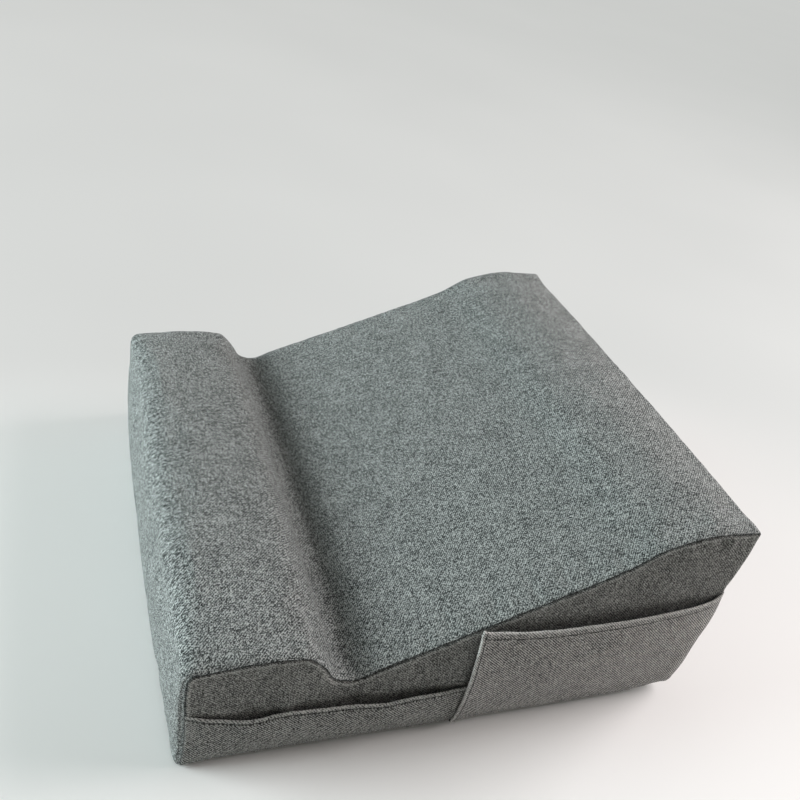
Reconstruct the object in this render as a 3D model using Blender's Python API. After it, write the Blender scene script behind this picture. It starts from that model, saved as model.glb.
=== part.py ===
"""Laptop pillow: a foam wedge with a wrist rest and a notch, in a zipped fabric cover with two side pockets.

Metres. X runs from side to side, Y from the front to the back, Z up from the floor.
"""
import math

import bmesh
import bpy
from mathutils import Vector

# Whole pillow
pillow_width = 0.302
pillow_depth = 0.312
fabric = 0.0012
gap = 0.0003

# Side seam line: share of the depth behind the front seam, then height above the floor
front_corner_radius = 0.0050
front_seam_dip = 0.0022
front_height = 0.0733
rest_crest_share = 0.1218
rest_crest_height = 0.0769
lip_share = 0.1843
lip_height = 0.0755
drop_share = 0.2147
drop_height = 0.0676
drop_foot_share = 0.2420
drop_foot_height = 0.0561
valley_share = 0.2715
valley_height = 0.0534
slope_foot_share = 0.3285
slope_foot_height = 0.0609
slope_middle_share = 0.5930
slope_middle_height = 0.0968
slope_rise_share = 0.7404
slope_rise_height = 0.1180
slope_head_share = 0.8093
slope_head_height = 0.1314
back_crest_share = 0.9167
back_crest_height = 0.1383
back_seam_height = 0.1356

# Crown: how far the filled cover swells past its seams at mid width
front_foot_crown = 0.0095
front_crown = 0.0160
front_corner_crown = 0.0110
rest_crown = 0.0050
lip_crown = 0.0035
drop_crown = 0.0015
valley_crown = 0.0010
slope_crown = 0.0030
back_crest_crown = 0.0040
back_seam_crown = 0.0020
back_crown = 0.0070
side_crown = 0.0026

# Underside: flat, with its edges drawn up to the seams
edge_curl = 0.0100
edge_lift = 0.0030
back_edge_lift = 0.0080
foot_crown_fade = 0.0600

# Pockets on the right side
front_pocket_start = 0.0010
front_pocket_stitch_share = 0.4840
front_pocket_end_share = 0.5224
front_pocket_height = 0.0415
rear_pocket_start_share = 0.4872
rear_pocket_front_height = 0.0850
rear_pocket_back_height = 0.0890
rear_pocket_layer_fade = 0.0200
rear_pocket_edge_hem = 0.0040
pocket_fullness = 0.0056
pocket_hem = 0.0035
pocket_hem_extra = 0.0007

# Zip in the back panel
zip_height = 0.0260
zip_slot_half = 0.0060
zip_recess = 0.0045
tape_half_width = 0.0110
tape_thickness = 0.0006
tape_inner_edge = 0.0014
coil_thickness = 0.0016
coil_half_width = 0.0026
coil_root = 0.0008
coil_tip = 0.0005
coil_pitch = 0.0030
coil_tooth = 0.0012
coil_tooth_end = 0.0009
zip_end_clearance = 0.0160
slider_length = 0.0110
slider_plate = 0.0011
slider_clearance = 0.0004
slider_wall = 0.0007
post_half_width = 0.0011
post_length = 0.0034
post_nose = 0.0008
slider_spread_length = 0.0030
bridge_half_length = 0.0030
bridge_half_width = 0.0009
bridge_thickness = 0.0009
pull_length = 0.0240
pull_half_width = 0.0026
pull_thickness = 0.0010
pull_bar = 0.0010
pull_eye_length = 0.0050
pull_play = 0.0005
pull_hole_radius = 0.0010
pull_end_radius = 0.0020
stop_length = 0.0026
stop_reach = 0.0018
stop_wall = 0.0008

# Where the vertices lie across the width, up the sides and along a pocket
width_shares = (0.0, 0.012, 0.04, 0.1, 0.2, 0.35, 0.5, 0.65, 0.8, 0.9, 0.96, 0.988, 1.0)
row_shares = (0.0, 0.12, 0.30, 0.50, 0.70, 0.88, 1.0)
pocket_width_shares = (0.0, 0.03, 0.08, 0.16, 0.26, 0.38, 0.5, 0.62, 0.74, 0.84, 0.92, 0.97, 1.0)
pocket_row_shares = (0.0, 0.2, 0.4, 0.6, 0.8, 1.0)
back_row_shares = (0.0, 0.15, 0.35, 0.6, 0.82, 1.0)
front_crown_middle_share = 0.45
edge_steepness_share = 0.42
side_steepness_share = 0.8
pocket_full_share = 0.5
curl_share = 0.4
pull_neck_share = 0.8

SEAM_KNOTS = tuple((share * pillow_depth, height, crown, count) for share, height, crown, count in (
    (rest_crest_share, rest_crest_height, rest_crown, 3),
    (lip_share, lip_height, lip_crown, 3),
    (drop_share, drop_height, drop_crown, 2),
    (drop_foot_share, drop_foot_height, drop_crown, 2),
    (valley_share, valley_height, valley_crown, 2),
    (slope_foot_share, slope_foot_height, valley_crown, 2),
    (slope_middle_share, slope_middle_height, slope_crown, 2),
    (slope_rise_share, slope_rise_height, slope_crown, 2),
    (slope_head_share, slope_head_height, slope_crown, 2),
    (back_crest_share, back_crest_height, back_crest_crown, 3),
    (1.0, back_seam_height, back_seam_crown, 4),
))

half_width = pillow_width / 2
front_dip_reach = rest_crest_share * pillow_depth
front_pocket_end = front_pocket_end_share * pillow_depth
rear_pocket_start = rear_pocket_start_share * pillow_depth
chain_half_length = half_width - zip_end_clearance
side_inner_x = half_width + gap
side_outer_x = side_inner_x + fabric
foam_inset = fabric + gap
right_reach = side_outer_x + side_crown + gap + pocket_fullness + fabric
left_reach = side_outer_x + side_crown
CENTRE = Vector(((right_reach - left_reach) / 2, (pillow_depth + back_crown - front_crown) / 2, 0.0))


def smooth_curve(knots):
    """Return a function through the knots that never swings past them."""
    xs = [k[0] for k in knots]
    ys = [k[1] for k in knots]
    steps = [b - a for a, b in zip(xs, xs[1:])]
    rises = [(b - a) / h for a, b, h in zip(ys, ys[1:], steps)]
    slopes = [rises[0]]
    for i in range(1, len(rises)):
        before, after = rises[i - 1], rises[i]
        if before * after <= 0:
            slopes.append(0.0)
        else:
            w1 = 2 * steps[i] + steps[i - 1]
            w2 = steps[i] + 2 * steps[i - 1]
            slopes.append((w1 + w2) / (w1 / before + w2 / after))
    slopes.append(rises[-1])

    def value(x):
        i = 0
        while i < len(steps) - 1 and x > xs[i + 1]:
            i += 1
        h = steps[i]
        t = min(max((x - xs[i]) / h, 0.0), 1.0)
        return (ys[i] * (1 + 2 * t) * (1 - t) ** 2 + slopes[i] * h * t * (1 - t) ** 2
                + ys[i + 1] * t * t * (3 - 2 * t) - slopes[i + 1] * h * t * t * (1 - t))

    return value


corner_height = front_height - front_corner_radius
seam_height = smooth_curve([(front_corner_radius, front_height)] + [k[:2] for k in SEAM_KNOTS])
top_crown = smooth_curve([(0.0, front_corner_crown)] + [(k[0], k[2]) for k in SEAM_KNOTS])
rise_of_front_crown = smooth_curve(
    [(0.0, front_foot_crown), (front_crown_middle_share, front_crown), (1.0, front_corner_crown)])


def width_swell(share):
    """Crown across the width: nought at both side seams, one in the middle."""
    return (4 * share * (1 - share)) ** edge_steepness_share


def side_swell(share):
    return math.sin(math.pi * min(max(share, 0.0), 1.0)) ** side_steepness_share


def top_stations():
    """Distances of the columns: round the front corner, then on to the back seam."""
    places = [front_corner_radius * (1 - math.cos(a)) for a in (0.0, math.pi / 4, math.pi / 2)]
    for distance, _, _, count in SEAM_KNOTS:
        start = places[-1]
        places += [start + (distance - start) * n / count for n in range(1, count + 1)]
    return places


def top_height(y):
    """Height of the side seam at a distance behind the front seam."""
    if y < front_corner_radius:
        across = front_corner_radius - y
        return corner_height + math.sqrt(max(front_corner_radius ** 2 - across ** 2, 0.0))
    return seam_height(y)


def bottom_height(x, y):
    """Height of the underside, drawn up at its four edges."""
    side = max(0.0, abs(x) - (half_width - edge_curl)) / edge_curl
    front = max(0.0, edge_curl - y) / edge_curl
    back = max(0.0, y - (pillow_depth - edge_curl)) / edge_curl
    return max(edge_lift * side ** 2, edge_lift * front ** 2, back_edge_lift * back ** 2)


def foot_shift(share, y):
    """How far the swell of the front draws the underside forward."""
    return front_foot_crown * width_swell(share) * max(0.0, 1 - y / foot_crown_fade)


def front_face(share, rise):
    """Y of the front face at a share of the width and of the height."""
    return front_seam_dip * math.sin(math.pi * rise) - rise_of_front_crown(rise) * width_swell(share)


def back_face(share, rise):
    """Y of the back face above the zip, at a share of the width and of the height."""
    swell = back_crown * math.sin(math.pi * rise) + back_seam_crown * rise ** 2
    return pillow_depth + swell * width_swell(share)


def wrap_line():
    """Front seam line and top seam line as one outline of points, normals and crowns."""
    points = []
    for rise in row_shares:
        z = edge_lift + rise * (corner_height - edge_lift)
        points.append((front_seam_dip * math.sin(math.pi * rise), z, rise_of_front_crown(rise)))
    for y in top_stations()[1:]:
        points.append((y, top_height(y), top_crown(y)))
    line = []
    for i, (y, z, crown) in enumerate(points):
        before, after = points[max(i - 1, 0)], points[min(i + 1, len(points) - 1)]
        along = Vector((after[0] - before[0], after[1] - before[1])).normalized()
        normal = Vector((-1.0, 0.0)) if i == 0 else Vector((-along.y, along.x))
        line.append((Vector((y, z)), normal, crown))
    return line


WRAP_LINE = wrap_line()


def wrap_point(share, station, depth):
    """A point of the wrapped front and top, at a depth below the outer face."""
    point, normal, crown = WRAP_LINE[station]
    place = point + normal * (crown * width_swell(share) - depth)
    return Vector((-half_width + share * pillow_width, place.x, place.y))


def make_material(name, colour, roughness, metallic=0.0):
    material = bpy.data.materials.new(name)
    material.use_nodes = True
    shader = material.node_tree.nodes["Principled BSDF"]
    shader.inputs["Base Color"].default_value = (*colour, 1.0)
    shader.inputs["Roughness"].default_value = roughness
    shader.inputs["Metallic"].default_value = metallic
    material.diffuse_color = (*colour, 1.0)
    return material


def fabric_material(name):
    return make_material(name, (0.20, 0.22, 0.22), 0.95)


def make_object(name, bm, material, origin=Vector((0.0, 0.0, 0.0))):
    """Finish a mesh built in pillow coordinates as an object with its own origin."""
    bmesh.ops.recalc_face_normals(bm, faces=bm.faces)
    bmesh.ops.translate(bm, verts=bm.verts, vec=-origin)
    mesh = bpy.data.meshes.new(name)
    bm.to_mesh(mesh)
    bm.free()
    mesh.shade_smooth()
    mesh.set_sharp_from_angle(angle=math.radians(40))
    mesh.materials.append(material)
    obj = bpy.data.objects.new(name, mesh)
    obj.location = origin - CENTRE
    bpy.context.scene.collection.objects.link(obj)
    return obj


def grid_faces(bm, grid):
    """Skin a grid in triangles that all lean one way, so that nested sheets keep their gap."""
    for row, above in zip(grid, grid[1:]):
        for i in range(len(row) - 1):
            bm.faces.new((row[i], row[i + 1], above[i + 1]))
            bm.faces.new((row[i], above[i + 1], above[i]))


def make_sheet(name, outer, inner, material):
    """Closed panel between an outer and an inner grid of points."""
    bm = bmesh.new()
    outside = [[bm.verts.new(p) for p in row] for row in outer]
    inside = [[bm.verts.new(p) for p in row] for row in inner]
    grid_faces(bm, outside)
    grid_faces(bm, inside)
    for a, b in ((outside[0], inside[0]), (outside[-1], inside[-1])):
        grid_faces(bm, [a, b])
    for end in (0, -1):
        grid_faces(bm, [[row[end] for row in outside], [row[end] for row in inside]])
    return make_object(name, bm, material)


def prism(outline, low, high, place):
    """Closed prism: an outline of pairs, set between two depths by the place function."""
    bm = bmesh.new()
    first = [bm.verts.new(place(a, b, low)) for a, b in outline]
    last = [bm.verts.new(place(a, b, high)) for a, b in outline]
    caps = [bm.faces.new(first), bm.faces.new(last)]
    for i in range(len(outline)):
        j = (i + 1) % len(outline)
        bm.faces.new((first[i], first[j], last[j], last[i]))
    bm.normal_update()
    bmesh.ops.triangulate(bm, faces=caps)
    return bm


def along_back(x, z, depth):
    """Outline in X and height from the zip's centre line, with depth below the back face."""
    return Vector((x, pillow_depth - depth, zip_height + z))


def along_chain(z, depth, x):
    """Outline in height and depth, with X along the chain."""
    return Vector((x, pillow_depth - depth, zip_height + z))


def across_chain(x, depth, z):
    """Outline in X and depth, with height across the chain."""
    return Vector((x, pillow_depth - depth, zip_height + z))


def combine(obj, bm, operation, origin):
    """Join a tool to the object, or cut it away, with an exact boolean."""
    tool = make_object(obj.name + "_tool", bm, obj.data.materials[0], origin)
    tool.hide_render = True
    tool.display_type = 'WIRE'
    modifier = obj.modifiers.new(operation.lower(), 'BOOLEAN')
    modifier.operation = operation
    modifier.solver = 'EXACT'
    modifier.object = tool


def make_top_panel():
    """Front, wrist rest, notch and slope in one piece of cloth."""
    stations = range(len(WRAP_LINE))
    outer = [[wrap_point(s, k, 0.0) for s in width_shares] for k in stations]
    inner = [[wrap_point(s, k, fabric) for s in width_shares] for k in stations]
    make_sheet("top_panel", outer, inner, fabric_material("top_panel"))


def make_bottom_panel():
    """Flat underside inside the front and back seams, its edges drawn up."""
    places = [foam_inset, edge_curl * curl_share, edge_curl, foot_crown_fade, pillow_depth / 2,
              pillow_depth - edge_curl, pillow_depth - edge_curl * (1 - curl_share),
              pillow_depth - edge_curl * curl_share, pillow_depth - foam_inset]
    outer, inner = [], []
    for y in reversed(places):
        row = []
        for s in width_shares:
            x = -half_width + s * pillow_width
            row.append(Vector((x, y - foot_shift(s, y), bottom_height(x, y))))
        outer.append(row)
        inner.append([p + Vector((0.0, 0.0, fabric)) for p in row])
    make_sheet("bottom_panel", outer, inner, fabric_material("bottom_panel"))


def back_height(share, rise, low):
    """Height on the upper back panel, from its lower edge to just under the top panel."""
    top = wrap_point(share, len(WRAP_LINE) - 1, fabric).z - 2 * gap
    return low + rise * (top - low)


def make_back_panels():
    """Back in two pieces, above and below the zip."""
    low = zip_height + zip_slot_half
    outer = [[Vector((-half_width + s * pillow_width, back_face(s, r), back_height(s, r, low)))
              for s in width_shares] for r in reversed(back_row_shares)]
    inner = [[p - Vector((0.0, fabric, 0.0)) for p in row] for row in outer]
    make_sheet("back_panel_upper", outer, inner, fabric_material("back_panel_upper"))
    heights = (zip_height - zip_slot_half, back_edge_lift)
    outer = [[Vector((-half_width + s * pillow_width, pillow_depth, z)) for s in width_shares]
             for z in heights]
    inner = [[p - Vector((0.0, fabric, 0.0)) for p in row] for row in outer]
    make_sheet("back_panel_lower", outer, inner, fabric_material("back_panel_lower"))


def side_point(y, rise, depth):
    """Point on a side panel: Y, height and how far out from the side seam's plane."""
    low = bottom_height(half_width, y)
    z = low + rise * (top_height(y) - low)
    swell = side_crown * side_swell(y / pillow_depth) * side_swell(rise)
    dip = front_seam_dip * math.sin(math.pi * rise) * max(0.0, 1 - y / front_dip_reach)
    return y + dip, z, side_inner_x + swell + depth


def make_side_panel(name, side):
    outer, inner = [], []
    for rise in row_shares:
        for rows, depth in ((outer, fabric), (inner, 0.0)):
            points = [side_point(y, rise, depth) for y in top_stations()]
            rows.append([Vector((side * x, y, z)) for y, z, x in points])
    make_sheet(name, outer, inner, fabric_material(name))


def side_face_x(y, z):
    """Outer face of the right side panel."""
    low = bottom_height(half_width, y)
    rise = (z - low) / (top_height(y) - low)
    return side_outer_x + side_crown * side_swell(y / pillow_depth) * side_swell(rise)


def front_pocket_top(_):
    """Height of the low pocket's mouth, the same at every distance."""
    return front_pocket_height


def rear_pocket_top(y):
    """Height of the tall pocket's mouth, which climbs towards the back and stays under the seam."""
    share = (y - rear_pocket_start) / (pillow_depth - rear_pocket_start)
    level = rear_pocket_front_height + share * (rear_pocket_back_height - rear_pocket_front_height)
    return min(level, top_height(y) - gap)


def pocket_swell(y, start, end, rise):
    """Fullness of a pocket: tight at its seams, open at its mouth."""
    share = min(max((y - start) / (end - start), 0.0), 1.0)
    opening = math.sin(math.pi / 2 * min(1.0, rise / pocket_full_share))
    return pocket_fullness * width_swell(share) * opening


def make_pocket(name, places, top, standing_off, hemmed_columns):
    """Pocket sewn in at its foot and ends, with a rolled hem along its mouth."""
    body_rows = [(share, -2 * pocket_hem) for share in pocket_row_shares[:-1]]
    hem_rows = [(1.0, -pocket_hem), (1.0, -pocket_hem / 2), (1.0, 0.0)]
    outer, inner = [], []
    for number, (share, drop) in enumerate(body_rows + hem_rows):
        row_out, row_in = [], []
        for column, y in enumerate(places):
            low = bottom_height(half_width, y)
            z = low + share * (top(y) + drop - low)
            hemmed = number >= len(body_rows) or (number and column < hemmed_columns)
            thickness = fabric + (pocket_hem_extra if hemmed else 0.0)
            x = side_face_x(y, z) + gap + standing_off(y, (z - low) / (top(y) - low))
            row_in.append(Vector((x, y, z)))
            row_out.append(Vector((x + thickness, y, z)))
        outer.append(row_out)
        inner.append(row_in)
    make_sheet(name, outer, inner, fabric_material(name))


def make_pockets():
    """Low pocket in front, and the taller one whose front edge laps over it."""
    start = front_pocket_start
    stitch = front_pocket_stitch_share * pillow_depth
    rear_seam = rear_pocket_start + rear_pocket_edge_hem
    lap = fabric + pocket_hem_extra + gap

    def front_stand_off(y, rise):
        return pocket_swell(y, start, stitch, rise)

    def rear_stand_off(y, rise):
        layer = 1 - min(max((y - front_pocket_end) / rear_pocket_layer_fade, 0.0), 1.0)
        return layer * lap + pocket_swell(y, rear_seam, pillow_depth, rise)

    front_places = [start + s * (stitch - start) for s in pocket_width_shares] + [front_pocket_end]
    rear_places = [rear_pocket_start] + [rear_seam + s * (pillow_depth - rear_seam)
                                         for s in pocket_width_shares]
    make_pocket("front_pocket", front_places, front_pocket_top, front_stand_off, 0)
    make_pocket("rear_pocket", rear_places, rear_pocket_top, rear_stand_off, 2)


def foam_ring(share):
    """One section of the foam, just inside the cover, from the front foot round to it again."""
    x = -half_width + share * pillow_width
    places = top_stations()
    low_front = foam_inset - front_foot_crown * width_swell(share)
    low_back = pillow_depth - zip_recess
    bottom = []
    for y in places:
        base = min(max(y, foam_inset), low_back)
        z = bottom_height(x, base) + foam_inset
        bottom.append((max(base - foot_shift(share, base), low_front), z))
    first = len(row_shares) - 1
    tops = [wrap_point(share, first + i, foam_inset) for i in range(len(places))]
    top = [(p.y, p.z) for p in tops]
    back_limit = back_face(share, 1.0) - foam_inset
    top[-1] = (min(top[-1][0], back_limit), top[-1][1])
    front = []
    for rise in row_shares[1:-1]:
        z = bottom[0][1] + rise * (top[0][1] - bottom[0][1])
        front.append((front_face(share, rise) + foam_inset, z))
    slot_top = zip_height + zip_slot_half
    tape_top = zip_height + tape_half_width + foam_inset
    back = [(low_back, zip_height), (low_back, tape_top)]
    for rise in row_shares[3:-1]:
        climb = (rise - row_shares[2]) / (1 - row_shares[2])
        z = tape_top + climb * (top[-1][1] - tape_top)
        back.append((back_face(share, (z - slot_top) / (top[-1][1] - slot_top)) - foam_inset, z))
    return x, bottom, back, top, front


def make_foam_core():
    """Shaped foam block that fills the cover."""
    bm = bmesh.new()
    rings = [foam_ring(s) for s in width_shares]
    loops = []
    for x, bottom, back, top, front in rings:
        points = front + top + back[::-1] + bottom[::-1]
        loops.append([bm.verts.new((x, y, z)) for y, z in points])
    for a, b in zip(loops, loops[1:]):
        grid_faces(bm, [a + a[:1], b + b[:1]])
    places = top_stations()
    columns = len(places)
    rows = len(row_shares)
    for ring, loop, side in ((rings[0], loops[0], -1), (rings[-1], loops[-1], 1)):
        _, bottom, _, top, _ = ring
        inner_rows = rows - 2
        front = loop[:inner_rows]
        high = loop[inner_rows:inner_rows + columns]
        back = loop[inner_rows + columns:2 * inner_rows + columns][::-1]
        low = loop[2 * inner_rows + columns:][::-1]
        grid = [low]
        for j in range(1, rows - 1):
            row = [front[j - 1]]
            for i in range(1, columns - 1):
                share = row_shares[j]
                y = bottom[i][0] + share * (top[i][0] - bottom[i][0])
                y += front_seam_dip * math.sin(math.pi * share) * max(0.0, 1 - y / front_dip_reach)
                z = bottom[i][1] + share * (top[i][1] - bottom[i][1])
                swell = side_crown * side_swell(places[i] / pillow_depth) * side_swell(share)
                row.append(bm.verts.new((side * (half_width + swell), y, z)))
            grid.append(row + [back[j - 1]])
        grid_faces(bm, grid + [high])
    make_object("foam_core", bm, make_material("foam_core", (0.85, 0.82, 0.72), 0.9))


tape_depth = fabric + gap
coil_foot_depth = tape_depth - gap
coil_depth = coil_foot_depth - coil_thickness
slider_outer_depth = coil_depth - slider_clearance - slider_plate
slider_inner_depth = tape_depth + tape_thickness + slider_clearance
coil_spread = post_half_width + gap + coil_tip
slider_place = chain_half_length - slider_length / 2
slider_nose_x = slider_place + slider_length / 2
slider_tail_x = slider_place - slider_length / 2
bridge_place = slider_place
pull_depth = slider_outer_depth - pull_play - pull_thickness / 2


def make_zip_tape(name, side):
    """Woven tape under the edge of a back panel, from side seam to side seam."""
    outline = [(-half_width, side * tape_inner_edge), (half_width, side * tape_inner_edge),
               (half_width, side * tape_half_width), (-half_width, side * tape_half_width)]
    bm = prism(outline, tape_depth, tape_depth + tape_thickness, along_back)
    make_object(name, bm, make_material(name, (0.055, 0.06, 0.06), 0.9))


def coil_shift(x):
    """How far a coil half stands off the centre line: nought, until the slider parts the halves."""
    share = (x - (slider_place - slider_spread_length / 2)) / slider_spread_length
    share = min(max(share, 0.0), 1.0)
    return coil_spread * share * share * (3 - 2 * share)


def make_zip_coil(name, side):
    """Half of the chain: a toothed strip whose teeth lie between those of the other half."""
    count = int(2 * chain_half_length / coil_pitch) - 1
    start = -chain_half_length + coil_pitch / 2
    if side < 0:
        start += coil_pitch / 2
    places = [-chain_half_length]
    for n in range(count):
        x = start + n * coil_pitch
        places += [x - coil_tooth / 2, x + coil_tooth / 2]
    places.append(chain_half_length)
    bm = bmesh.new()

    def pair(x, z):
        height = side * (z + coil_shift(x))
        return [bm.verts.new(along_back(x, height, depth)) for depth in (coil_depth, coil_foot_depth)]

    def wall(a, b):
        bm.faces.new((a[0], b[0], b[1], a[1]))

    edge = [pair(x, coil_half_width) for x in places]
    root = [pair(x, coil_root) for x in places]
    taper = (coil_tooth - coil_tooth_end) / 2
    for k in range(len(places) - 1):
        wall(edge[k], edge[k + 1])
        for level in (0, 1):
            bm.faces.new((edge[k][level], edge[k + 1][level], root[k + 1][level], root[k][level]))
        if k % 2 == 0:
            wall(root[k], root[k + 1])
            continue
        near, far = pair(places[k] + taper, -coil_tip), pair(places[k + 1] - taper, -coil_tip)
        for a, b in ((root[k], near), (near, far), (far, root[k + 1])):
            wall(a, b)
        for level in (0, 1):
            bm.faces.new((root[k][level], root[k + 1][level], far[level], near[level]))
    wall(edge[0], root[0])
    wall(edge[-1], root[-1])
    make_object(name, bm, make_material(name, (0.04, 0.043, 0.045), 0.45))


def slider_outline(tail_half, nose_half):
    """Plan of a slider plate: narrow at the tail, wide at the shoulders, cut back at the nose."""
    shoulder = slider_place + slider_spread_length / 2
    bend = slider_place - slider_spread_length / 2
    cut = slider_wall * 2
    upper = [(slider_tail_x, tail_half - slider_wall), (slider_tail_x + slider_wall, tail_half),
             (bend, tail_half), (shoulder, nose_half), (slider_nose_x - cut, nose_half),
             (slider_nose_x, nose_half - cut)]
    return upper + [(x, -z) for x, z in upper[::-1]]


def make_zip_slider():
    """Slider body: two plates on a post, side walls that guide the coils, and a bridge."""
    name = "zip_slider"
    origin = along_back(slider_place, 0.0, 0.0)
    tail_inner = coil_half_width + gap
    nose_inner = tail_inner + coil_spread
    tail_half = tail_inner + slider_wall
    nose_half = nose_inner + slider_wall
    plan = slider_outline(tail_half, nose_half)
    outer_face = slider_outer_depth + slider_plate
    material = make_material(name, (0.16, 0.16, 0.165), 0.35, 1.0)
    body = make_object(name, prism(plan, slider_outer_depth, outer_face, along_back), material, origin)
    inner_plate = prism(plan, slider_inner_depth, slider_inner_depth + slider_plate, along_back)
    combine(body, inner_plate, 'UNION', origin)
    middle = slider_nose_x - post_length / 2 - slider_wall
    post = [(middle - post_length / 2, 0.0), (middle, post_half_width),
            (middle + post_length / 2, post_half_width - post_nose / 2),
            (middle + post_length / 2, post_nose / 2 - post_half_width), (middle, -post_half_width)]
    post_top = slider_outer_depth + slider_plate / 2
    post_foot = slider_inner_depth + slider_plate / 2
    combine(body, prism(post, post_top, post_foot, along_back), 'UNION', origin)
    bend = slider_place - slider_spread_length / 2
    shoulder = slider_place + slider_spread_length / 2
    for side in (1, -1):
        wall = [(slider_tail_x + slider_wall, tail_inner), (bend, tail_inner), (shoulder, nose_inner),
                (slider_nose_x - slider_wall * 2, nose_inner), (slider_nose_x - slider_wall * 2, nose_half),
                (shoulder, nose_half), (bend, tail_half), (slider_tail_x + slider_wall, tail_half)]
        outline = [(x, side * z) for x, z in wall]
        combine(body, prism(outline, post_top, tape_depth - gap, along_back), 'UNION', origin)
    low = post_top
    inside = pull_depth - pull_thickness / 2 - pull_play
    top = inside - bridge_thickness
    reach, inner_reach = bridge_half_length, bridge_half_length - bridge_thickness
    round_off = bridge_thickness / 2
    bridge = [(-reach, low), (-reach, top + round_off), (-reach + round_off, top),
              (reach - round_off, top), (reach, top + round_off), (reach, low),
              (inner_reach, low), (inner_reach, inside), (-inner_reach, inside), (-inner_reach, low)]
    outline = [(bridge_place + x, depth) for x, depth in bridge]
    combine(body, prism(outline, -bridge_half_width, bridge_half_width, across_chain), 'UNION', origin)


def rounded_end(x, half, radius, steps=4):
    """Two rounded corners at the far end of the pull, from its upper to its lower side."""
    points = []
    for n in range(steps + 1):
        a = math.pi / 2 * n / steps
        points.append((x + radius - radius * math.sin(a), half - radius + radius * math.cos(a)))
    return points + [(px, -pz) for px, pz in points[::-1]]


def make_zip_pull():
    """Pull tab on its bar under the bridge, lying along the closed chain."""
    name = "zip_pull_tab"
    origin = along_back(bridge_place, 0.0, pull_depth)
    near, far = pull_bar / 2, pull_length
    front, back = pull_depth - pull_thickness / 2, pull_depth + pull_thickness / 2
    neck = pull_half_width * pull_neck_share
    outline = [(near, pull_half_width), (-pull_eye_length, pull_half_width),
               (-pull_eye_length - pull_half_width, neck)]
    outline += rounded_end(-far, pull_half_width, pull_end_radius)
    outline += [(-pull_eye_length - pull_half_width, -neck), (-pull_eye_length, -pull_half_width),
                (near, -pull_half_width)]
    outline = [(bridge_place + x, z) for x, z in outline]
    material = make_material(name, (0.16, 0.16, 0.165), 0.35, 1.0)
    tab = make_object(name, prism(outline, front, back, along_back), material, origin)
    eye_half = bridge_half_width + pull_play
    eye = [(bridge_place - x, z) for x, z in
           ((near, eye_half), (pull_eye_length, eye_half), (pull_eye_length, -eye_half), (near, -eye_half))]
    overrun = pull_thickness
    combine(tab, prism(eye, front - overrun, back + overrun, along_back), 'DIFFERENCE', origin)
    sides = 12
    centre = bridge_place - far + 2 * pull_end_radius
    hole = [(centre + pull_hole_radius * math.cos(2 * math.pi * n / sides),
             pull_hole_radius * math.sin(2 * math.pi * n / sides)) for n in range(sides)]
    combine(tab, prism(hole, front - overrun, back + overrun, along_back), 'DIFFERENCE', origin)


def make_zip_stops():
    """Clips on the tape edges: one for each tape at the closed end, one over both at the other."""
    front = tape_depth - gap
    back = tape_depth + tape_thickness + gap
    for name, side in (("zip_top_stop_upper", 1), ("zip_top_stop_lower", -1)):
        web = tape_inner_edge - gap
        clip = [(gap, front - stop_wall), (web + stop_reach, front - stop_wall), (web + stop_reach, front),
                (web, front), (web, back), (web + stop_reach, back), (web + stop_reach, back + stop_wall),
                (gap, back + stop_wall)]
        outline = [(side * z, depth) for z, depth in clip]
        start = chain_half_length + gap
        bm = prism(outline, start, start + stop_length, along_chain)
        make_object(name, bm, make_material(name, (0.16, 0.16, 0.165), 0.35, 1.0))
    web = tape_inner_edge - gap
    reach = web + stop_reach
    half = [(web, back), (reach, back), (reach, back + stop_wall)]
    upper = [(reach, front - stop_wall), (reach, front), (web, front)] + half
    outline = upper + [(-z, depth) for z, depth in upper[::-1]]
    end = -chain_half_length - gap
    bm = prism(outline, end - stop_length, end, along_chain)
    make_object("zip_bottom_stop", bm, make_material("zip_bottom_stop", (0.16, 0.16, 0.165), 0.35, 1.0))


def build():
    for obj in list(bpy.data.objects):
        bpy.data.objects.remove(obj, do_unlink=True)
    make_foam_core()
    make_top_panel()
    make_bottom_panel()
    make_back_panels()
    make_side_panel("side_panel_left", -1)
    make_side_panel("side_panel_right", 1)
    make_pockets()
    make_zip_tape("zip_tape_upper", 1)
    make_zip_tape("zip_tape_lower", -1)
    make_zip_coil("zip_coil_upper", 1)
    make_zip_coil("zip_coil_lower", -1)
    make_zip_slider()
    make_zip_pull()
    make_zip_stops()


build()
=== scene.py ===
"""Laptop pillow: a cloth cover, sewn from panels and closed with a zip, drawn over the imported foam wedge.

Metres. X runs from side to side, Y from the front to the back, Z up from the floor. The panels are laid
out in pillow coordinates, whose Y starts at the front seam, and are moved to the frame by CENTRE.
"""

import math

import bmesh
import bpy
import numpy as np
from mathutils import Matrix, Vector
from mathutils.bvhtree import BVHTree


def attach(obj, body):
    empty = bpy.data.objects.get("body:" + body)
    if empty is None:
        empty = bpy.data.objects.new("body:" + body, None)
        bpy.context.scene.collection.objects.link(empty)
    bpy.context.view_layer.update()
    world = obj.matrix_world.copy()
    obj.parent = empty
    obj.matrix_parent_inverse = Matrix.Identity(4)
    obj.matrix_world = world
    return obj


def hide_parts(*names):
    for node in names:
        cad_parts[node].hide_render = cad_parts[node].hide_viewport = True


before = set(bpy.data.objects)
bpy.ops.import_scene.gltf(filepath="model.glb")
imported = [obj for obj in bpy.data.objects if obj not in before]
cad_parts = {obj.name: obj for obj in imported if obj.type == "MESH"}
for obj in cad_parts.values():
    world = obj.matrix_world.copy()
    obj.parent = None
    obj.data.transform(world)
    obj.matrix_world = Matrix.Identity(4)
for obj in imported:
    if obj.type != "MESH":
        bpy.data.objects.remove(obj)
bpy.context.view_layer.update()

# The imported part's own sizes
pillow_width = 0.302
pillow_depth = 0.312
fabric = 0.0012
gap = 0.0003
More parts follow.
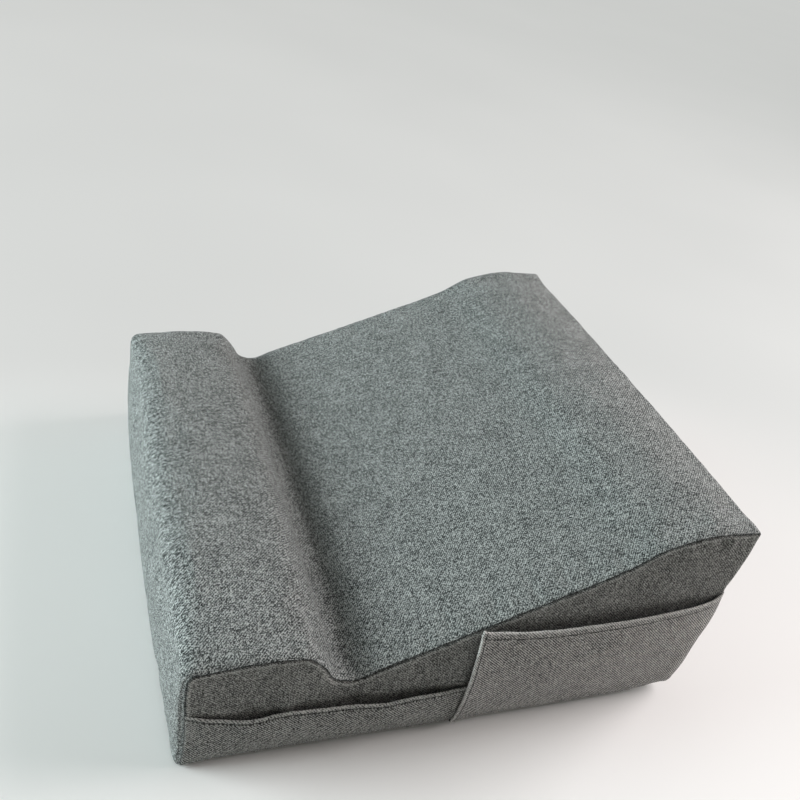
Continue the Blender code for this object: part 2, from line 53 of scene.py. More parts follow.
front_height = 0.0733
edge_curl = 0.0100
edge_lift = 0.0030
back_edge_lift = 0.0080
foot_crown_fade = 0.0600
back_seam_crown = 0.0020
back_crown = 0.0070
side_crown = 0.0026
front_crown = 0.0160
edge_steepness = 0.42
side_steepness = 0.8
zip_height = 0.0260
zip_slot_half = 0.0060
tape_thickness = 0.0006
tape_inner_edge = 0.0014
coil_thickness = 0.0016
coil_half_width = 0.0026
chain_half_length = 0.1350
slider_length = 0.0110
slider_spread_length = 0.0030
coil_spread = 0.0019
pocket_fullness = 0.0056

# The sewn cover's own form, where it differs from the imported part
front_corner_radius = 0.0042
front_seam_dip = 0.0004
front_swell_share = 0.62
front_steepness = 0.25
notch_place = 0.0835
notch_dip = 0.0026
floor_clearance = 0.00001

# Side seam line: distance behind the front seam, height, crown at mid width
SEAM_KNOTS = (
    (0.0380, 0.0769, 0.0050),
    (0.0575, 0.0755, 0.0035),
    (0.0670, 0.0676, 0.0015),
    (0.0755, 0.0561, 0.0015),
    (0.0847, 0.0534, 0.0010),
    (0.1025, 0.0609, 0.0010),
    (0.1850, 0.0968, 0.0030),
    (0.2310, 0.1180, 0.0030),
    (0.2525, 0.1314, 0.0030),
    (0.2860, 0.1383, 0.0040),
    (0.3120, 0.1356, 0.0020),
)
FRONT_CROWN = ((0.0, 0.0095), (0.45, 0.0160), (1.0, 0.0110))

# Pulls on the cover: centre, reach and shift of each
PULLS = (
    ((-0.1510, 0.000, 0.076), (0.022, 0.022, 0.028), (0.0, -0.0032, 0.0)),
    ((0.1525, 0.000, 0.002), (0.012, 0.011, 0.010), (0.0, -0.0008, -0.0020)),
    ((0.1525, 0.000, 0.058), (0.016, 0.012, 0.024), (0.0, -0.0020, 0.0)),
    ((0.1520, 0.312, 0.092), (0.012, 0.012, 0.012), (0.0, -0.0022, 0.0)),
    ((-0.1525, 0.000, 0.002), (0.012, 0.011, 0.010), (0.0, -0.0014, -0.0016)),
    ((0.1520, 0.312, 0.006), (0.013, 0.018, 0.015), (-0.0006, -0.0034, 0.0018)),
    ((0.1520, 0.297, 0.000), (0.018, 0.014, 0.012), (0.0, 0.0, 0.0026)),
    ((0.1520, 0.312, 0.032), (0.012, 0.012, 0.015), (0.0, -0.0016, 0.0)),
    ((-0.1520, 0.312, 0.006), (0.013, 0.018, 0.015), (0.0006, -0.0022, 0.0014)),
    ((0.1520, 0.312, 0.136), (0.012, 0.012, 0.012), (0.0, 0.0002, 0.0016)),
    ((-0.1520, 0.312, 0.136), (0.012, 0.012, 0.012), (-0.0006, 0.0014, 0.0018)),
)

half_width = pillow_width / 2
side_outer_x = half_width + gap + fabric
corner_height = front_height - front_corner_radius
right_reach = side_outer_x + side_crown + gap + pocket_fullness + fabric
left_reach = side_outer_x + side_crown
CENTRE = np.array([(right_reach - left_reach) / 2, (pillow_depth + back_crown - front_crown) / 2, 0.0])

# Seams: two rolled edges that meet in a groove
roll_radius = 0.0006
tuck_depth = 0.0022
tuck_in = 0.0006
seam_inset = roll_radius * math.sqrt(2)
panel_reach = side_outer_x - seam_inset
cloth_thickness = 0.0009
fold_thinning = 1.94
seam_pucker = 0.00022
gather_length = 0.0042
slow_gather_length = 0.0095
slow_gather_share = 0.7
gather_reach = 0.0055

# Painted light beside a seam: painted shade in its groove, and a painted highlight on the roll beside it,
# on the sides and the pockets; and painted shade along a pocket's sewn edge
seam_groove_shade_width = 0.00020
roll_highlight_place = 0.0012
roll_highlight_width = 0.0007
side_roll_highlight = 0.7
pocket_roll_highlight = 0.25
sewn_edge_shade = 0.9

# Points of a panel: distances from its edges, given in millimetres, and the steps between those further in
NEAR_EDGE = np.array([0.0, 0.08, 0.18, 0.30, 0.44, 0.6, 0.8, 1.0,
                      1.3, 1.75, 2.3, 3.1, 4.2, 5.6, 7.4, 9.5]) / 1000
SHORT_EDGE = NEAR_EDGE[:12]
seam_step = 0.0016
across_step = 0.0045
back_step = 0.0040
bottom_step = 0.0060
side_steps = (0.0018, 0.0030)
pocket_step = 0.0014

# Where the flat coordinates of the panels start, which keeps their weaves and gathers apart
across_start, side_start, back_start, bottom_start = 0.4, 0.5, 0.9, 2.0
ripple_start, other_side = 0.2, 0.7

# Weave: distance from yarn to yarn, in millimetres
warp_pitch = 0.450
weft_pitch = 0.417

# Threads, and the zip's coil, tape and worn metal edges
stitch_points = 8
thread_sides = 6
stitch_length = 0.0031
stitch_share = 0.78
stitch_rise = 0.00016
stitch_sink = 0.00045
thread_radius = 0.00016
coil_pitch = 0.0015
filament_radius = 0.00028
coil_overlap = 0.0005
tape_width = 0.0102
tape_front = 0.00156
coil_middle = 0.0004
coil_core = 0.0010
core_sink = 0.0003
core_radius = 0.00055
worn_edge = 0.00016


def curve_values(knots, places):
    """Values at the places of the curve through the knots, which never swings past them."""
    xs = np.array([k[0] for k in knots])
    ys = np.array([k[1] for k in knots])
    steps = np.diff(xs)
    rises = np.diff(ys) / steps
    before, after = rises[:-1], rises[1:]
    w1, w2 = 2 * steps[1:] + steps[:-1], steps[1:] + 2 * steps[:-1]
    slopes = np.zeros(len(xs))
    slopes[0], slopes[-1] = rises[0], rises[-1]
    same_way = before * after > 0
    slopes[1:-1][same_way] = ((w1 + w2)[same_way]
                              / (w1[same_way] / before[same_way] + w2[same_way] / after[same_way]))
    places = np.asarray(places, dtype=float)
    i = np.clip(np.searchsorted(xs, places) - 1, 0, len(steps) - 1)
    h = steps[i]
    t = np.clip((places - xs[i]) / h, 0.0, 1.0)
    return (ys[i] * (1 + 2 * t) * (1 - t) ** 2 + slopes[i] * h * t * (1 - t) ** 2
            + ys[i + 1] * t * t * (3 - 2 * t) - slopes[i + 1] * h * t * t * (1 - t))


def ripple(places, wavelength, seed):
    """Smooth random curve between -1 and 1, the same in each run."""
    places = np.asarray(places, dtype=float)
    values = np.random.default_rng(seed).uniform(-1, 1, int(places.max() / wavelength) + 4)
    t = np.maximum(places, 0.0) / wavelength
    i = t.astype(int)
    f = t - i
    f = f * f * (3 - 2 * f)
    return values[i] * (1 - f) + values[i + 1] * f


def bump(values, centre, width):
    return np.exp(-((values - centre) / width) ** 2)


def smooth_step(values):
    t = np.clip(values, 0.0, 1.0)
    return t * t * (3 - 2 * t)


def spread(values, coarse_x, coarse_y, x, y):
    """Values of a coarse grid at the places of a fine one."""
    i = np.clip(np.searchsorted(coarse_x, x) - 1, 0, len(coarse_x) - 2)
    j = np.clip(np.searchsorted(coarse_y, y) - 1, 0, len(coarse_y) - 2)
    f = smooth_step((x - coarse_x[i]) / (coarse_x[i + 1] - coarse_x[i]))
    g = smooth_step((y - coarse_y[j]) / (coarse_y[j + 1] - coarse_y[j]))
    return ((values[j, i] * (1 - f) + values[j, i + 1] * f) * (1 - g)
            + (values[j + 1, i] * (1 - f) + values[j + 1, i + 1] * f) * g)


def field(u, v, wavelength, seed):
    """Smooth random surface between -1 and 1, the same in each run."""
    u, v = u - u.min(), v - v.min()
    size = int(max(u.max(), v.max()) / wavelength) + 4
    values = np.random.default_rng(seed).uniform(-1, 1, (size, size))
    places = np.arange(size) * wavelength
    return spread(values, places, places, v, u)


def mid_share(x):
    """From nought at both side seams to 1 at mid width."""
    share = np.clip((x + half_width) / pillow_width, 0.0, 1.0)
    return 4 * share * (1 - share)


def width_swell(x):
    return mid_share(x) ** edge_steepness


def front_swell(x):
    """The front is fuller towards its corners and flatter in the middle than the other faces."""
    return front_swell_share * mid_share(x) ** front_steepness


def settled(points):
    """Cover as its corners have settled: small pulls that every panel shares, so that seams stay closed."""
    moved = points.copy()
    for centre, reach, shift in PULLS:
        weight = np.exp(-np.sum(((points - np.array(centre)) / np.array(reach)) ** 2, axis=-1))
        moved += weight[..., None] * np.array(shift)
    moved[..., 2] = np.maximum(moved[..., 2], floor_clearance)
    return moved


def side_swell(share):
    return np.sin(np.pi * np.clip(share, 0.0, 1.0)) ** side_steepness


def top_height(y):
    """Height of the side seam at a distance behind the front seam."""
    y = np.asarray(y, dtype=float)
    across = np.clip(front_corner_radius - y, 0.0, front_corner_radius)
    corner = corner_height + np.sqrt(front_corner_radius ** 2 - across ** 2)
    seam = curve_values([(front_corner_radius, front_height)] + [k[:2] for k in SEAM_KNOTS], y)
    return np.where(y < front_corner_radius, corner, seam)


def bottom_height(x, y):
    """Height of the underside, drawn up at its four edges."""
    side = np.maximum(0.0, np.abs(x) - (half_width - edge_curl)) / edge_curl
    front = np.maximum(0.0, edge_curl - y) / edge_curl
    back = np.maximum(0.0, y - (pillow_depth - edge_curl)) / edge_curl
    return np.maximum(edge_lift * np.maximum(side, front) ** 2, back_edge_lift * back ** 2)


def seam_path(front_points=300, corner_points=40, fineness=0.0003):
    """Side seam line from the front foot, round the front corner and back over the notch, at even steps."""
    rise = np.linspace(0.0, 1.0, front_points)
    angle = np.linspace(0.0, math.pi / 2, corner_points)[1:]
    along = np.arange(front_corner_radius, pillow_depth, fineness)[1:]
    along = np.append(along, pillow_depth)
    y = np.concatenate([front_seam_dip * np.sin(np.pi * rise),
                        front_corner_radius * (1 - np.cos(angle)), along])
    z = np.concatenate([edge_lift + rise * (corner_height - edge_lift),
                        corner_height + front_corner_radius * np.sin(angle), top_height(along)])
    crown_knots = [(0.0, FRONT_CROWN[-1][1])] + [(k[0], k[2]) for k in SEAM_KNOTS]
    crown = np.concatenate([curve_values(FRONT_CROWN, rise), curve_values(crown_knots, y[front_points:])])
    length = np.concatenate([[0.0], np.cumsum(np.hypot(np.diff(y), np.diff(z)))])
    even = np.linspace(0.0, length[-1], int(length[-1] / seam_step) + 1)
    y, z, crown = (np.interp(even, length, values) for values in (y, z, crown))
    ty, tz = np.gradient(y), np.gradient(z)
    for _ in range(2):
        ty[1:-1] = (ty[:-2] + 2 * ty[1:-1] + ty[2:]) / 4
        tz[1:-1] = (tz[:-2] + 2 * tz[1:-1] + tz[2:]) / 4
    size = np.hypot(ty, tz)
    return {"s": even, "y": y, "z": z, "crown": crown, "ny": -tz / size, "nz": ty / size}


SEAM = seam_path()
SEAM_LENGTH = SEAM["s"][-1]
FRONT_TOP = corner_height - edge_lift
NOTCH = float(SEAM["s"][np.argmin(np.where(SEAM["s"] > FRONT_TOP, np.abs(SEAM["y"] - notch_place), 1.0))])


def on_seam(s):
    return {key: np.interp(s, SEAM["s"], SEAM[key]) for key in SEAM}


def edge_places(length, step, near=NEAR_EDGE):
    """Places from edge to edge, close together near both."""
    inner = length - 2 * near[-1]
    count = max(2, int(inner / step))
    middle = near[-1] + inner * np.arange(1, count) / count
    return np.concatenate([near, middle, (length - near)[::-1]])


def across_places(step, near=NEAR_EDGE):
    """Places across the whole width of a panel."""
    return -panel_reach + edge_places(2 * panel_reach, step, near)


def roll_drop(distance, radius=roll_radius):
    """How far a rolled edge has turned down at a distance from it."""
    d = np.clip(distance, 0.0, radius)
    return radius - np.sqrt(np.maximum(radius ** 2 - (radius - d) ** 2, 0.0))


# Directions are taken from lengths over this one
tiny = 1e-9


def unit(vectors):
    """The vectors brought to length 1."""
    return vectors / np.maximum(np.linalg.norm(vectors, axis=-1, keepdims=True), tiny)


def unrolled(points, coords):
    """Flat coordinates that grow by the cloth's own length where it rolls over an edge."""
    coords = coords.copy()
    count = len(NEAR_EDGE) + 2
    for axis in (0, 1):
        for turn in (1, -1):
            p = np.moveaxis(points, axis, 0)[::turn]
            c = np.moveaxis(coords, axis, 0)[::turn]
            old = c[:count + 1].copy()
            ahead = np.zeros_like(old[0])
            for i in range(count - 1, -1, -1):
                step = old[i] - old[i + 1]
                size = np.linalg.norm(step, axis=1, keepdims=True)
                ahead = np.where(size > 1000 * tiny, unit(step), ahead)
                c[i] = c[i + 1] + ahead * np.linalg.norm(p[i] - p[i + 1], axis=1, keepdims=True)
    return coords


def tucked(points, depths, coords, painted_shading, free, inner_row=3):
    """Add a last row and column along every edge, turned on into the seam.

    A free edge, named as the first or last row, is a fold and has none.
    """
    for axis in (0, 1):
        ends = []
        for turn in (0, -1):
            edge = np.take(points, [turn], axis=axis)
            inside = np.take(points, [inner_row if turn == 0 else -1 - inner_row], axis=axis)
            down = np.take(depths, [turn], axis=axis)
            step = inside - edge
            step = unit(step - np.sum(step * down, axis=2, keepdims=True) * down)
            ends.append((edge + down * tuck_depth + step * tuck_in, down, np.take(coords, [turn], axis=axis)))
        points, depths, coords = (
            np.concatenate([first, grid, last], axis=axis)
            for grid, first, last in zip((points, depths, coords), *ends))
        # The tucked rows, turned into the seam, take the darkest painted shade
        painted_shading = np.pad(painted_shading, ((1, 1), (0, 0)) if axis == 0 else ((0, 0), (1, 1)), constant_values=-1.0)
    keep = {None: slice(None), "first": slice(1, None), "last": slice(None, -1)}[free]
    return points[keep], depths[keep], coords[keep], painted_shading[keep]


def seam_painted_shading(distance, light=0.0):
    """Painted shade where a panel turns into its seam, and with light given, a painted highlight on the
    roll beside it.
    """
    return light * bump(distance, roll_highlight_place, roll_highlight_width) - bump(distance, 0.0, seam_groove_shade_width)


def quads_of(index):
    """Faces between the points of a grid, from the grid of their numbers."""
    return np.stack([index[:-1, :-1], index[:-1, 1:], index[1:, 1:], index[1:, :-1]], axis=2).reshape(-1, 4)


def new_mesh(name, points, faces):
    mesh = bpy.data.meshes.new(name)
    mesh.from_pydata(points.reshape(-1, 3).tolist(), [], faces)
    return mesh


def cloth_object(name, outer, coords, material, inward, painted_shading, thickness=cloth_thickness):
    """Closed sheet of cloth from its outer face, with its flat coordinates kept for the weave.

    inward is a grid of unit directions from the outer face to the inner one, and painted_shading tells how
    much painted highlight or painted shade the cloth's colour takes, from 1 to -1.
    """
    rows, cols = outer.shape[:2]
    thickness = np.broadcast_to(np.asarray(thickness, dtype=float), (rows, cols))[..., None]
    inner = outer + inward * thickness
    count = rows * cols
    points = settled(np.concatenate([outer.reshape(-1, 3), inner.reshape(-1, 3)])) - CENTRE
    coords = unrolled(outer, coords)
    index = np.arange(count).reshape(rows, cols)
    quads = quads_of(index)
    rim = np.concatenate([index[0, :-1], index[:-1, -1], index[-1, :0:-1], index[:0:-1, 0]])
    after = np.roll(rim, -1)
    sides = np.stack([after, rim, rim + count, after + count], axis=1)
    mesh = new_mesh(name, points, np.concatenate([quads, quads[:, ::-1] + count, sides]).tolist())
    flat = np.zeros((2 * count, 3), dtype=np.float32)
    flat[:count, :2] = coords.reshape(-1, 2)
    flat[count:, :2] = coords.reshape(-1, 2) + np.array([-1.0, 1.0]) * thickness.reshape(-1, 1)
    # The third value is the painted shade and painted highlight
    flat[:, 2] = np.tile(painted_shading.ravel(), 2)
    mesh.attributes.new("cloth", 'FLOAT_VECTOR', 'POINT').data.foreach_set("vector", flat.ravel())
    return finish_mesh(name, mesh, material)


def add_object(name, data):
    obj = bpy.data.objects.new(name, data)
    bpy.context.scene.collection.objects.link(obj)
    return obj


def finish_mesh(name, mesh, material):
    bm = bmesh.new()
    bm.from_mesh(mesh)
    bmesh.ops.recalc_face_normals(bm, faces=bm.faces)
    bm.to_mesh(mesh)
    bm.free()
    mesh.shade_smooth()
    mesh.materials.append(material)
    piece = add_object(name, mesh)
    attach(piece, "pillow")
    return piece


# Materials

class Nodes:
    """Small helper that adds shader nodes and links them."""

    def __init__(self, name):
        self.material = bpy.data.materials.new(name)
        self.material.use_nodes = True
        self.tree = self.material.node_tree
        self.shader = self.tree.nodes["Principled BSDF"]

    def add(self, kind, **settings):
        node = self.tree.nodes.new(kind)
        for key, value in settings.items():
            setattr(node, key, value)
        return node

    def set(self, node, socket, value):
        if isinstance(value, bpy.types.NodeSocket):
            self.tree.links.new(value, node.inputs[socket])
        else:
            node.inputs[socket].default_value = value

    def feed(self, node, **values):
        for key, value in values.items():
            self.set(node, key.replace("_", " "), value)
        return node.outputs

    def principled(self, **values):
        self.feed(self.shader, **values)

    def place(self):
        return self.add("ShaderNodeTexCoord").outputs["Object"]

    def cloth_place(self):
        """The cloth's own coordinates, together and one by one; the third is its painted shade and painted
        highlight.
        """
        source = self.add("ShaderNodeAttribute", attribute_name="cloth").outputs["Vector"]
        return source, *self.feed(self.add("ShaderNodeSeparateXYZ"), Vector=source)

    def math(self, operation, *values):
        node = self.add("ShaderNodeMath", operation=operation)
        for i, value in enumerate(values):
            self.set(node, i, value)
        return node.outputs[0]

    def centred(self, value):
        return self.math('SUBTRACT', value, 0.5)

    def vector(self, x, y, z=0.0):
        return self.feed(self.add("ShaderNodeCombineXYZ"), X=x, Y=y, Z=z)[0]

    def noise(self, vector, scale, detail=2.0, roughness=0.5):
        node = self.add("ShaderNodeTexNoise")
        return self.feed(node, Vector=vector, Scale=scale, Detail=detail, Roughness=roughness)["Fac"]

    def yarn_noise(self, x, x_scale, y, y_scale, seed, detail=1.0):
        """Noise with a scale of its own each way; the seed keeps it apart from the others."""
        place = self.vector(self.math('MULTIPLY', x, x_scale), self.math('MULTIPLY', y, y_scale), seed)
        return self.noise(place, 1.0, detail)

    def random(self, vector):
        """A random value from -0.5 to 0.5 for each vector."""
        return self.centred(self.feed(self.add("ShaderNodeTexWhiteNoise"), Vector=vector)["Value"])

    def fade(self, value, start, end):
        """Rises smoothly from nought at the start to 1 at the end."""
        node = self.add("ShaderNodeMapRange", interpolation_type='SMOOTHERSTEP')
        return self.feed(node, Value=value, From_Min=start, From_Max=end)["Result"]

    def mix(self, factor, a, b):
        return self.math('ADD', self.math('MULTIPLY', a, self.math('SUBTRACT', 1.0, factor)),
                         self.math('MULTIPLY', b, factor))

    def mix_vector(self, factor, a, b):
        """The node's sockets 4 and 5, and 1 of those out, are vectors. The rest are numbers and colours."""
        node = self.add("ShaderNodeMix", data_type='VECTOR')
        for socket, value in ((0, factor), (4, a), (5, b)):
            self.set(node, socket, value)
        return node.outputs[1]

    def ramp(self, factor, *stops):
        """Colours at their places, and those between them."""
        node = self.add("ShaderNodeValToRGB")
        elements = node.color_ramp.elements
        while len(elements) < len(stops):
            elements.new(0.5)
        for element, (place, colour) in zip(elements, stops):
            element.position = place
            element.color = (*colour, 1.0)
        self.set(node, "Fac", factor)
        return node.outputs["Color"]

    def bump(self, height, strength, distance):
        node = self.add("ShaderNodeBump")
        normal = self.feed(node, Strength=strength, Distance=distance, Height=height)["Normal"]
        self.set(self.shader, "Normal", normal)


# Heather cloth: yarns in a repeat of its twill, and a start for their order that keeps it above nought;
# how far they wander; the scales of its noises, by the metre or the yarn; the weights of its tones
twill_repeat = 4.0
far_start = 1000 * twill_repeat
wander_yarns = 1.2
wander_scale, cloud_scale, mottle_scale = 30.0, 55.0, 820.0
yarn_scale, warp_drift, weft_drift = 3.7, 0.13, 0.16
slub_scale, slub_drift = 2.3, 0.045
mean_round = 0.64
grain_weight, yarn_round_shade_weight, slub_weight = 1.5, 0.40, 0.45
cloud_weight, mottle_weight, painted_shading_weight = 0.30, 1.10, 0.42


def heather_cloth(name, dark, middle, light, speckle=0.50, fine=0.75, rib=0.20, streak=1.15):
    """Two-and-two twill of mixed light and dark yarns. Its coordinates are the cloth's own, in metres.

    Every float, the stretch where one yarn passes over two others, has its own tone, and each yarn
    changes slowly along its length, with now and then a slub.
    """
    n = Nodes(name)
    # The cloth's third value brings in the painted shade and painted highlights beside seams and hems
    place, x, y, painted_shading_tone = n.cloth_place()
    shift = n.math('MULTIPLY', n.centred(n.noise(place, wander_scale, 1.0)), wander_yarns)
    warp_place = n.math('MULTIPLY_ADD', x, 1000.0 / warp_pitch, shift)
    weft_place = n.math('MULTIPLY_ADD', y, 1000.0 / weft_pitch, shift)
    warp, weft = n.math('FLOOR', warp_place), n.math('FLOOR', weft_place)
    order = n.math('ADD', n.math('ADD', warp, weft), far_start)
    over = n.math('LESS_THAN', n.math('MODULO', order, twill_repeat), twill_repeat / 2)
    turn = 2 * math.pi / twill_repeat
    wave = n.math('SINE', n.math('MULTIPLY', n.math('ADD', warp_place, weft_place), turn))
    group = n.math('FLOOR', n.math('DIVIDE', order, twill_repeat))
    speck = n.random(n.mix_vector(over, n.vector(group, weft, 7.0), n.vector(warp, group, 2.0)))
    across = n.mix(over, n.math('FRACT', weft_place), n.math('FRACT', warp_place))
    round_yarn = n.math('SINE', n.math('MULTIPLY', across, math.pi))
    grain = n.random(n.vector(warp, weft, 1.0))
    warp_tone = n.yarn_noise(warp, yarn_scale, weft_place, warp_drift, 3.0)
    weft_tone = n.yarn_noise(warp_place, weft_drift, weft, yarn_scale, 9.0)
    slub = n.yarn_noise(warp, slub_scale, weft_place, slub_drift, 5.0, 0.0)
    value = 0.5
    for layer, weight in (
            (speck, speckle),
            (n.math('MULTIPLY', grain, round_yarn), grain_weight * fine),
            # Each yarn darker towards its edges: painted shade of its round
            (n.math('SUBTRACT', round_yarn, mean_round), yarn_round_shade_weight),
            (n.centred(n.mix(over, weft_tone, warp_tone)), streak),
            (n.centred(slub), slub_weight),
            (wave, rib),
            (n.centred(n.noise(place, cloud_scale, 3.0)), cloud_weight),
            (n.centred(n.noise(place, mottle_scale, 2.0, 0.7)), mottle_weight),
            (painted_shading_tone, painted_shading_weight)):
        value = n.math('MULTIPLY_ADD', layer, weight, value)
    n.principled(Base_Color=n.ramp(value, (0.0, dark), (0.5, middle), (1.0, light)), Roughness=0.95,
                 Specular_IOR_Level=0.2, Sheen_Weight=0.06, Sheen_Roughness=0.5)
    height = n.math('MULTIPLY_ADD', wave, 0.5, n.math('MULTIPLY', round_yarn, 0.5))
    n.bump(n.math('MULTIPLY_ADD', speck, 0.3, height), strength=0.45, distance=0.00018)
    return n.material


def thread_material(name, colour):
    n = Nodes(name)
    twist = n.noise(n.place(), 2600.0)
    dark, light = (tuple(c * share for c in colour) for share in (0.6, 1.5))
    n.principled(Base_Color=n.ramp(twist, (0.2, dark), (0.8, light)), Roughness=0.7, Sheen_Weight=0.2)
    n.bump(twist, strength=0.5, distance=0.0001)
    return n.material


def foam_material():
    n = Nodes("polyurethane_foam")
    place = n.place()
    pores = n.feed(n.add("ShaderNodeTexVoronoi"), Vector=place, Scale=900.0)["Distance"]
    tone = n.math('ADD', n.math('MULTIPLY', pores, 0.6), n.math('MULTIPLY', n.noise(place, 35.0, 3.0), 0.5))
    colour = n.ramp(tone, (0.1, (0.50, 0.44, 0.30)), (0.8, (0.80, 0.74, 0.58)))
    n.principled(Base_Color=colour, Roughness=0.95)
    n.bump(pores, strength=0.8, distance=0.0004)
    return n.material


def metal_material():
    n = Nodes("gunmetal_plating")
    place = n.place()
    stretched = n.feed(n.add("ShaderNodeMapping"), Vector=place, Scale=(400.0, 2600.0, 2600.0))
    scratches = n.noise(stretched["Vector"], 1.0, 3.0, 0.65)
    smudge = n.noise(place, 320.0)
    colour = n.ramp(scratches, (0.3, (0.10, 0.10, 0.105)), (0.8, (0.26, 0.26, 0.27)))
    n.principled(Base_Color=colour, Metallic=1.0, Roughness=n.mix(smudge, 0.24, 0.50))
    n.bump(scratches, strength=0.15, distance=0.00004)
    return n.material


def coil_material():
    n = Nodes("nylon_coil")
    tone = n.noise(n.place(), 700.0)
    colour = n.ramp(tone, (0.2, (0.020, 0.022, 0.023)), (0.8, (0.060, 0.064, 0.066)))
    n.principled(Base_Color=colour, Roughness=n.mix(tone, 0.30, 0.45), Coat_Weight=0.1)
    return n.material


def tape_material(rib_pitch=0.55, rib_fold=1.1):
    """Woven zip tape: fine herringbone ribs along its length. Their pitch and fold are in millimetres."""
    n = Nodes("zip_tape_weave")
    _, x, y, _ = n.cloth_place()
    u, v = (n.math('MULTIPLY', place, 1000.0) for place in (x, y))
    fold = n.math('PINGPONG', v, rib_fold)
    ribs = n.math('SINE', n.math('MULTIPLY', n.math('ADD', u, fold), 2 * math.pi / rib_pitch))
    value = n.math('ADD', n.math('MULTIPLY', ribs, 0.25), n.noise(n.vector(u, v), 1.3))
    colour = n.ramp(value, (0.2, (0.022, 0.024, 0.025)), (0.9, (0.085, 0.090, 0.092)))
    n.principled(Base_Color=colour, Roughness=0.85, Sheen_Weight=0.15)
    n.bump(value, strength=0.5, distance=0.00012)
    return n.material


# One twill for the whole cover: the sides' and the low pocket's darker tones are painted shade, and the tall
# pocket's lighter tone is painted light
COVER_CLOTH = heather_cloth(
    "heather_twill", (0.020, 0.024, 0.024), (0.131, 0.144, 0.142), (0.47, 0.50, 0.49), speckle=0.80)
SHADED_SIDE_CLOTH = heather_cloth(
    "heather_twill_side_painted_shade", (0.016, 0.017, 0.016), (0.096, 0.098, 0.094), (0.38, 0.39, 0.37))
SHADED_LOW_POCKET_CLOTH = heather_cloth(
    "heather_twill_low_pocket_painted_shade", (0.014, 0.015, 0.014), (0.092, 0.094, 0.090), (0.44, 0.45, 0.43),
    speckle=0.60, fine=1.1, rib=0.50)
LIT_TALL_POCKET_CLOTH = heather_cloth(
    "heather_twill_pocket_painted_light", (0.020, 0.021, 0.020), (0.142, 0.142, 0.137), (0.58, 0.58, 0.56),
    speckle=0.40, fine=1.0, rib=0.50, streak=0.9)
THREAD = thread_material("sewing_thread", (0.045, 0.048, 0.048))


# Cover panels

def seam_puckers(distance, along, seed):
    """Small gathers beside a seam: along is the place on the seam, distance how far away it is."""
    fine, slow = ripple(along, gather_length, seed), ripple(along, slow_gather_length, seed + 1)
    fall = np.exp(-np.maximum(distance - roll_radius, 0.0) / gather_reach)
    return seam_pucker * (fine + slow_gather_share * slow) * fall


def facing(points, axis, sign):
    """The same unit direction for every point."""
    directions = np.zeros_like(points)
    directions[..., axis] = sign
    return directions


def make_panel(name, node, points, depth, coords, painted_shading, material=None, free=None, fold=0.0, **sheet):
    """Panel of the cover, tucked into its seams. A free edge is folded, at the height of its fold."""
    points, depth, coords, painted_shading = tucked(points, depth, coords, painted_shading, free)
    thickness = cloth_thickness
    if free:
        from_fold = np.abs(points[..., 2] - fold)
        thickness = cloth_thickness - fold_thinning * roll_drop(from_fold, cloth_thickness / 2)
    piece = cloth_object(name, points, coords, material or COVER_CLOTH, depth, painted_shading, thickness)
    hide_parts(node)


# Cloth simulation, run for the wrap and the upper back panel
blow_frames = 18
BLOWN_CLOTH = {
    "quality": 6, "mass": 0.3, "tension_stiffness": 25.0, "compression_stiffness": 25.0,
    "shear_stiffness": 8.0, "bending_stiffness": 1.5, "vertex_group_mass": "held",
    "use_pressure": True, "uniform_pressure_force": 3.0, "shrink_min": -0.006,
}


def blown(points, outward, limits):
    """How far each point of a sheet held at its rim moves outward in a short cloth simulation, capped."""
    rows, cols = points.shape[:2]
    index = np.arange(rows * cols).reshape(rows, cols)
    quads = quads_of(index)
    if np.sum(np.cross(points[1, 1] - points[1, 0], points[2, 1] - points[1, 1]) * outward[1, 1]) < 0:
        quads = quads[:, ::-1]
    mesh = new_mesh("trial_sheet", points, quads.tolist())
    sheet = add_object("trial_sheet", mesh)
    scene = bpy.context.scene
    rim = np.ones((rows, cols), dtype=bool)
    rim[1:-1, 1:-1] = False
    sheet.vertex_groups.new(name="held").add(index[rim].tolist(), 1.0, 'REPLACE')
    settings = sheet.modifiers.new("cloth", 'CLOTH').settings
    for key, value in BLOWN_CLOTH.items():
        setattr(settings, key, value)
    settings.effector_weights.gravity = 0.0
    for frame_number in range(1, blow_frames + 1):
        scene.frame_set(frame_number)
    result = sheet.evaluated_get(bpy.context.evaluated_depsgraph_get()).to_mesh()
    moved = np.empty(rows * cols * 3)
    result.vertices.foreach_get("co", moved)
    scene.frame_set(1)
    bpy.data.objects.remove(sheet)
    bpy.data.meshes.remove(mesh)
    shift = np.sum((moved.reshape(rows, cols, 3) - points) * outward, axis=2)
    low, high = limits
    middle, half = (high + low) / 2, (high - low) / 2
    return (middle + half * np.tanh((shift - middle) / half)) * ~rim


def trial_places(low, high, columns, rows):
    """Places of the coarse grid that is blown: across the pillow, and along the panel."""
    return np.linspace(-panel_reach, panel_reach, columns), np.linspace(low, high, rows)


# Wrap panel: lengths over which its shapes pass into each other, the grid that is blown, and how far that
# may move the panel
front_fade = 0.012
notch_reach = 0.010
notch_side_fade = 0.026
back_fade = 0.030
WRAP_TRIAL = (56, 90)
wrap_play = (-0.0009, 0.0016)


def wrap_surface(x, s):
    """Smooth outer face of the wrap panel: points, outward directions and the distance to its side edges."""
    line = on_seam(s)
    outward = np.stack([np.zeros_like(x), line["ny"], line["nz"]], axis=2)
    base = np.stack([x, line["y"], line["z"]], axis=2)
    side_distance = panel_reach - np.abs(x)
    front = 1 - smooth_step((s - FRONT_TOP) / front_fade)
    swell = line["crown"] * (front_swell(x) * front + width_swell(x) * (1 - front))
    swell -= notch_dip * bump(s, NOTCH, notch_reach) * smooth_step(side_distance / notch_side_fade)
    base[..., 1] += back_seam_crown * width_swell(x) * smooth_step(1 - (SEAM_LENGTH - s) / back_fade)
    return base + outward * swell[..., None], outward, side_distance


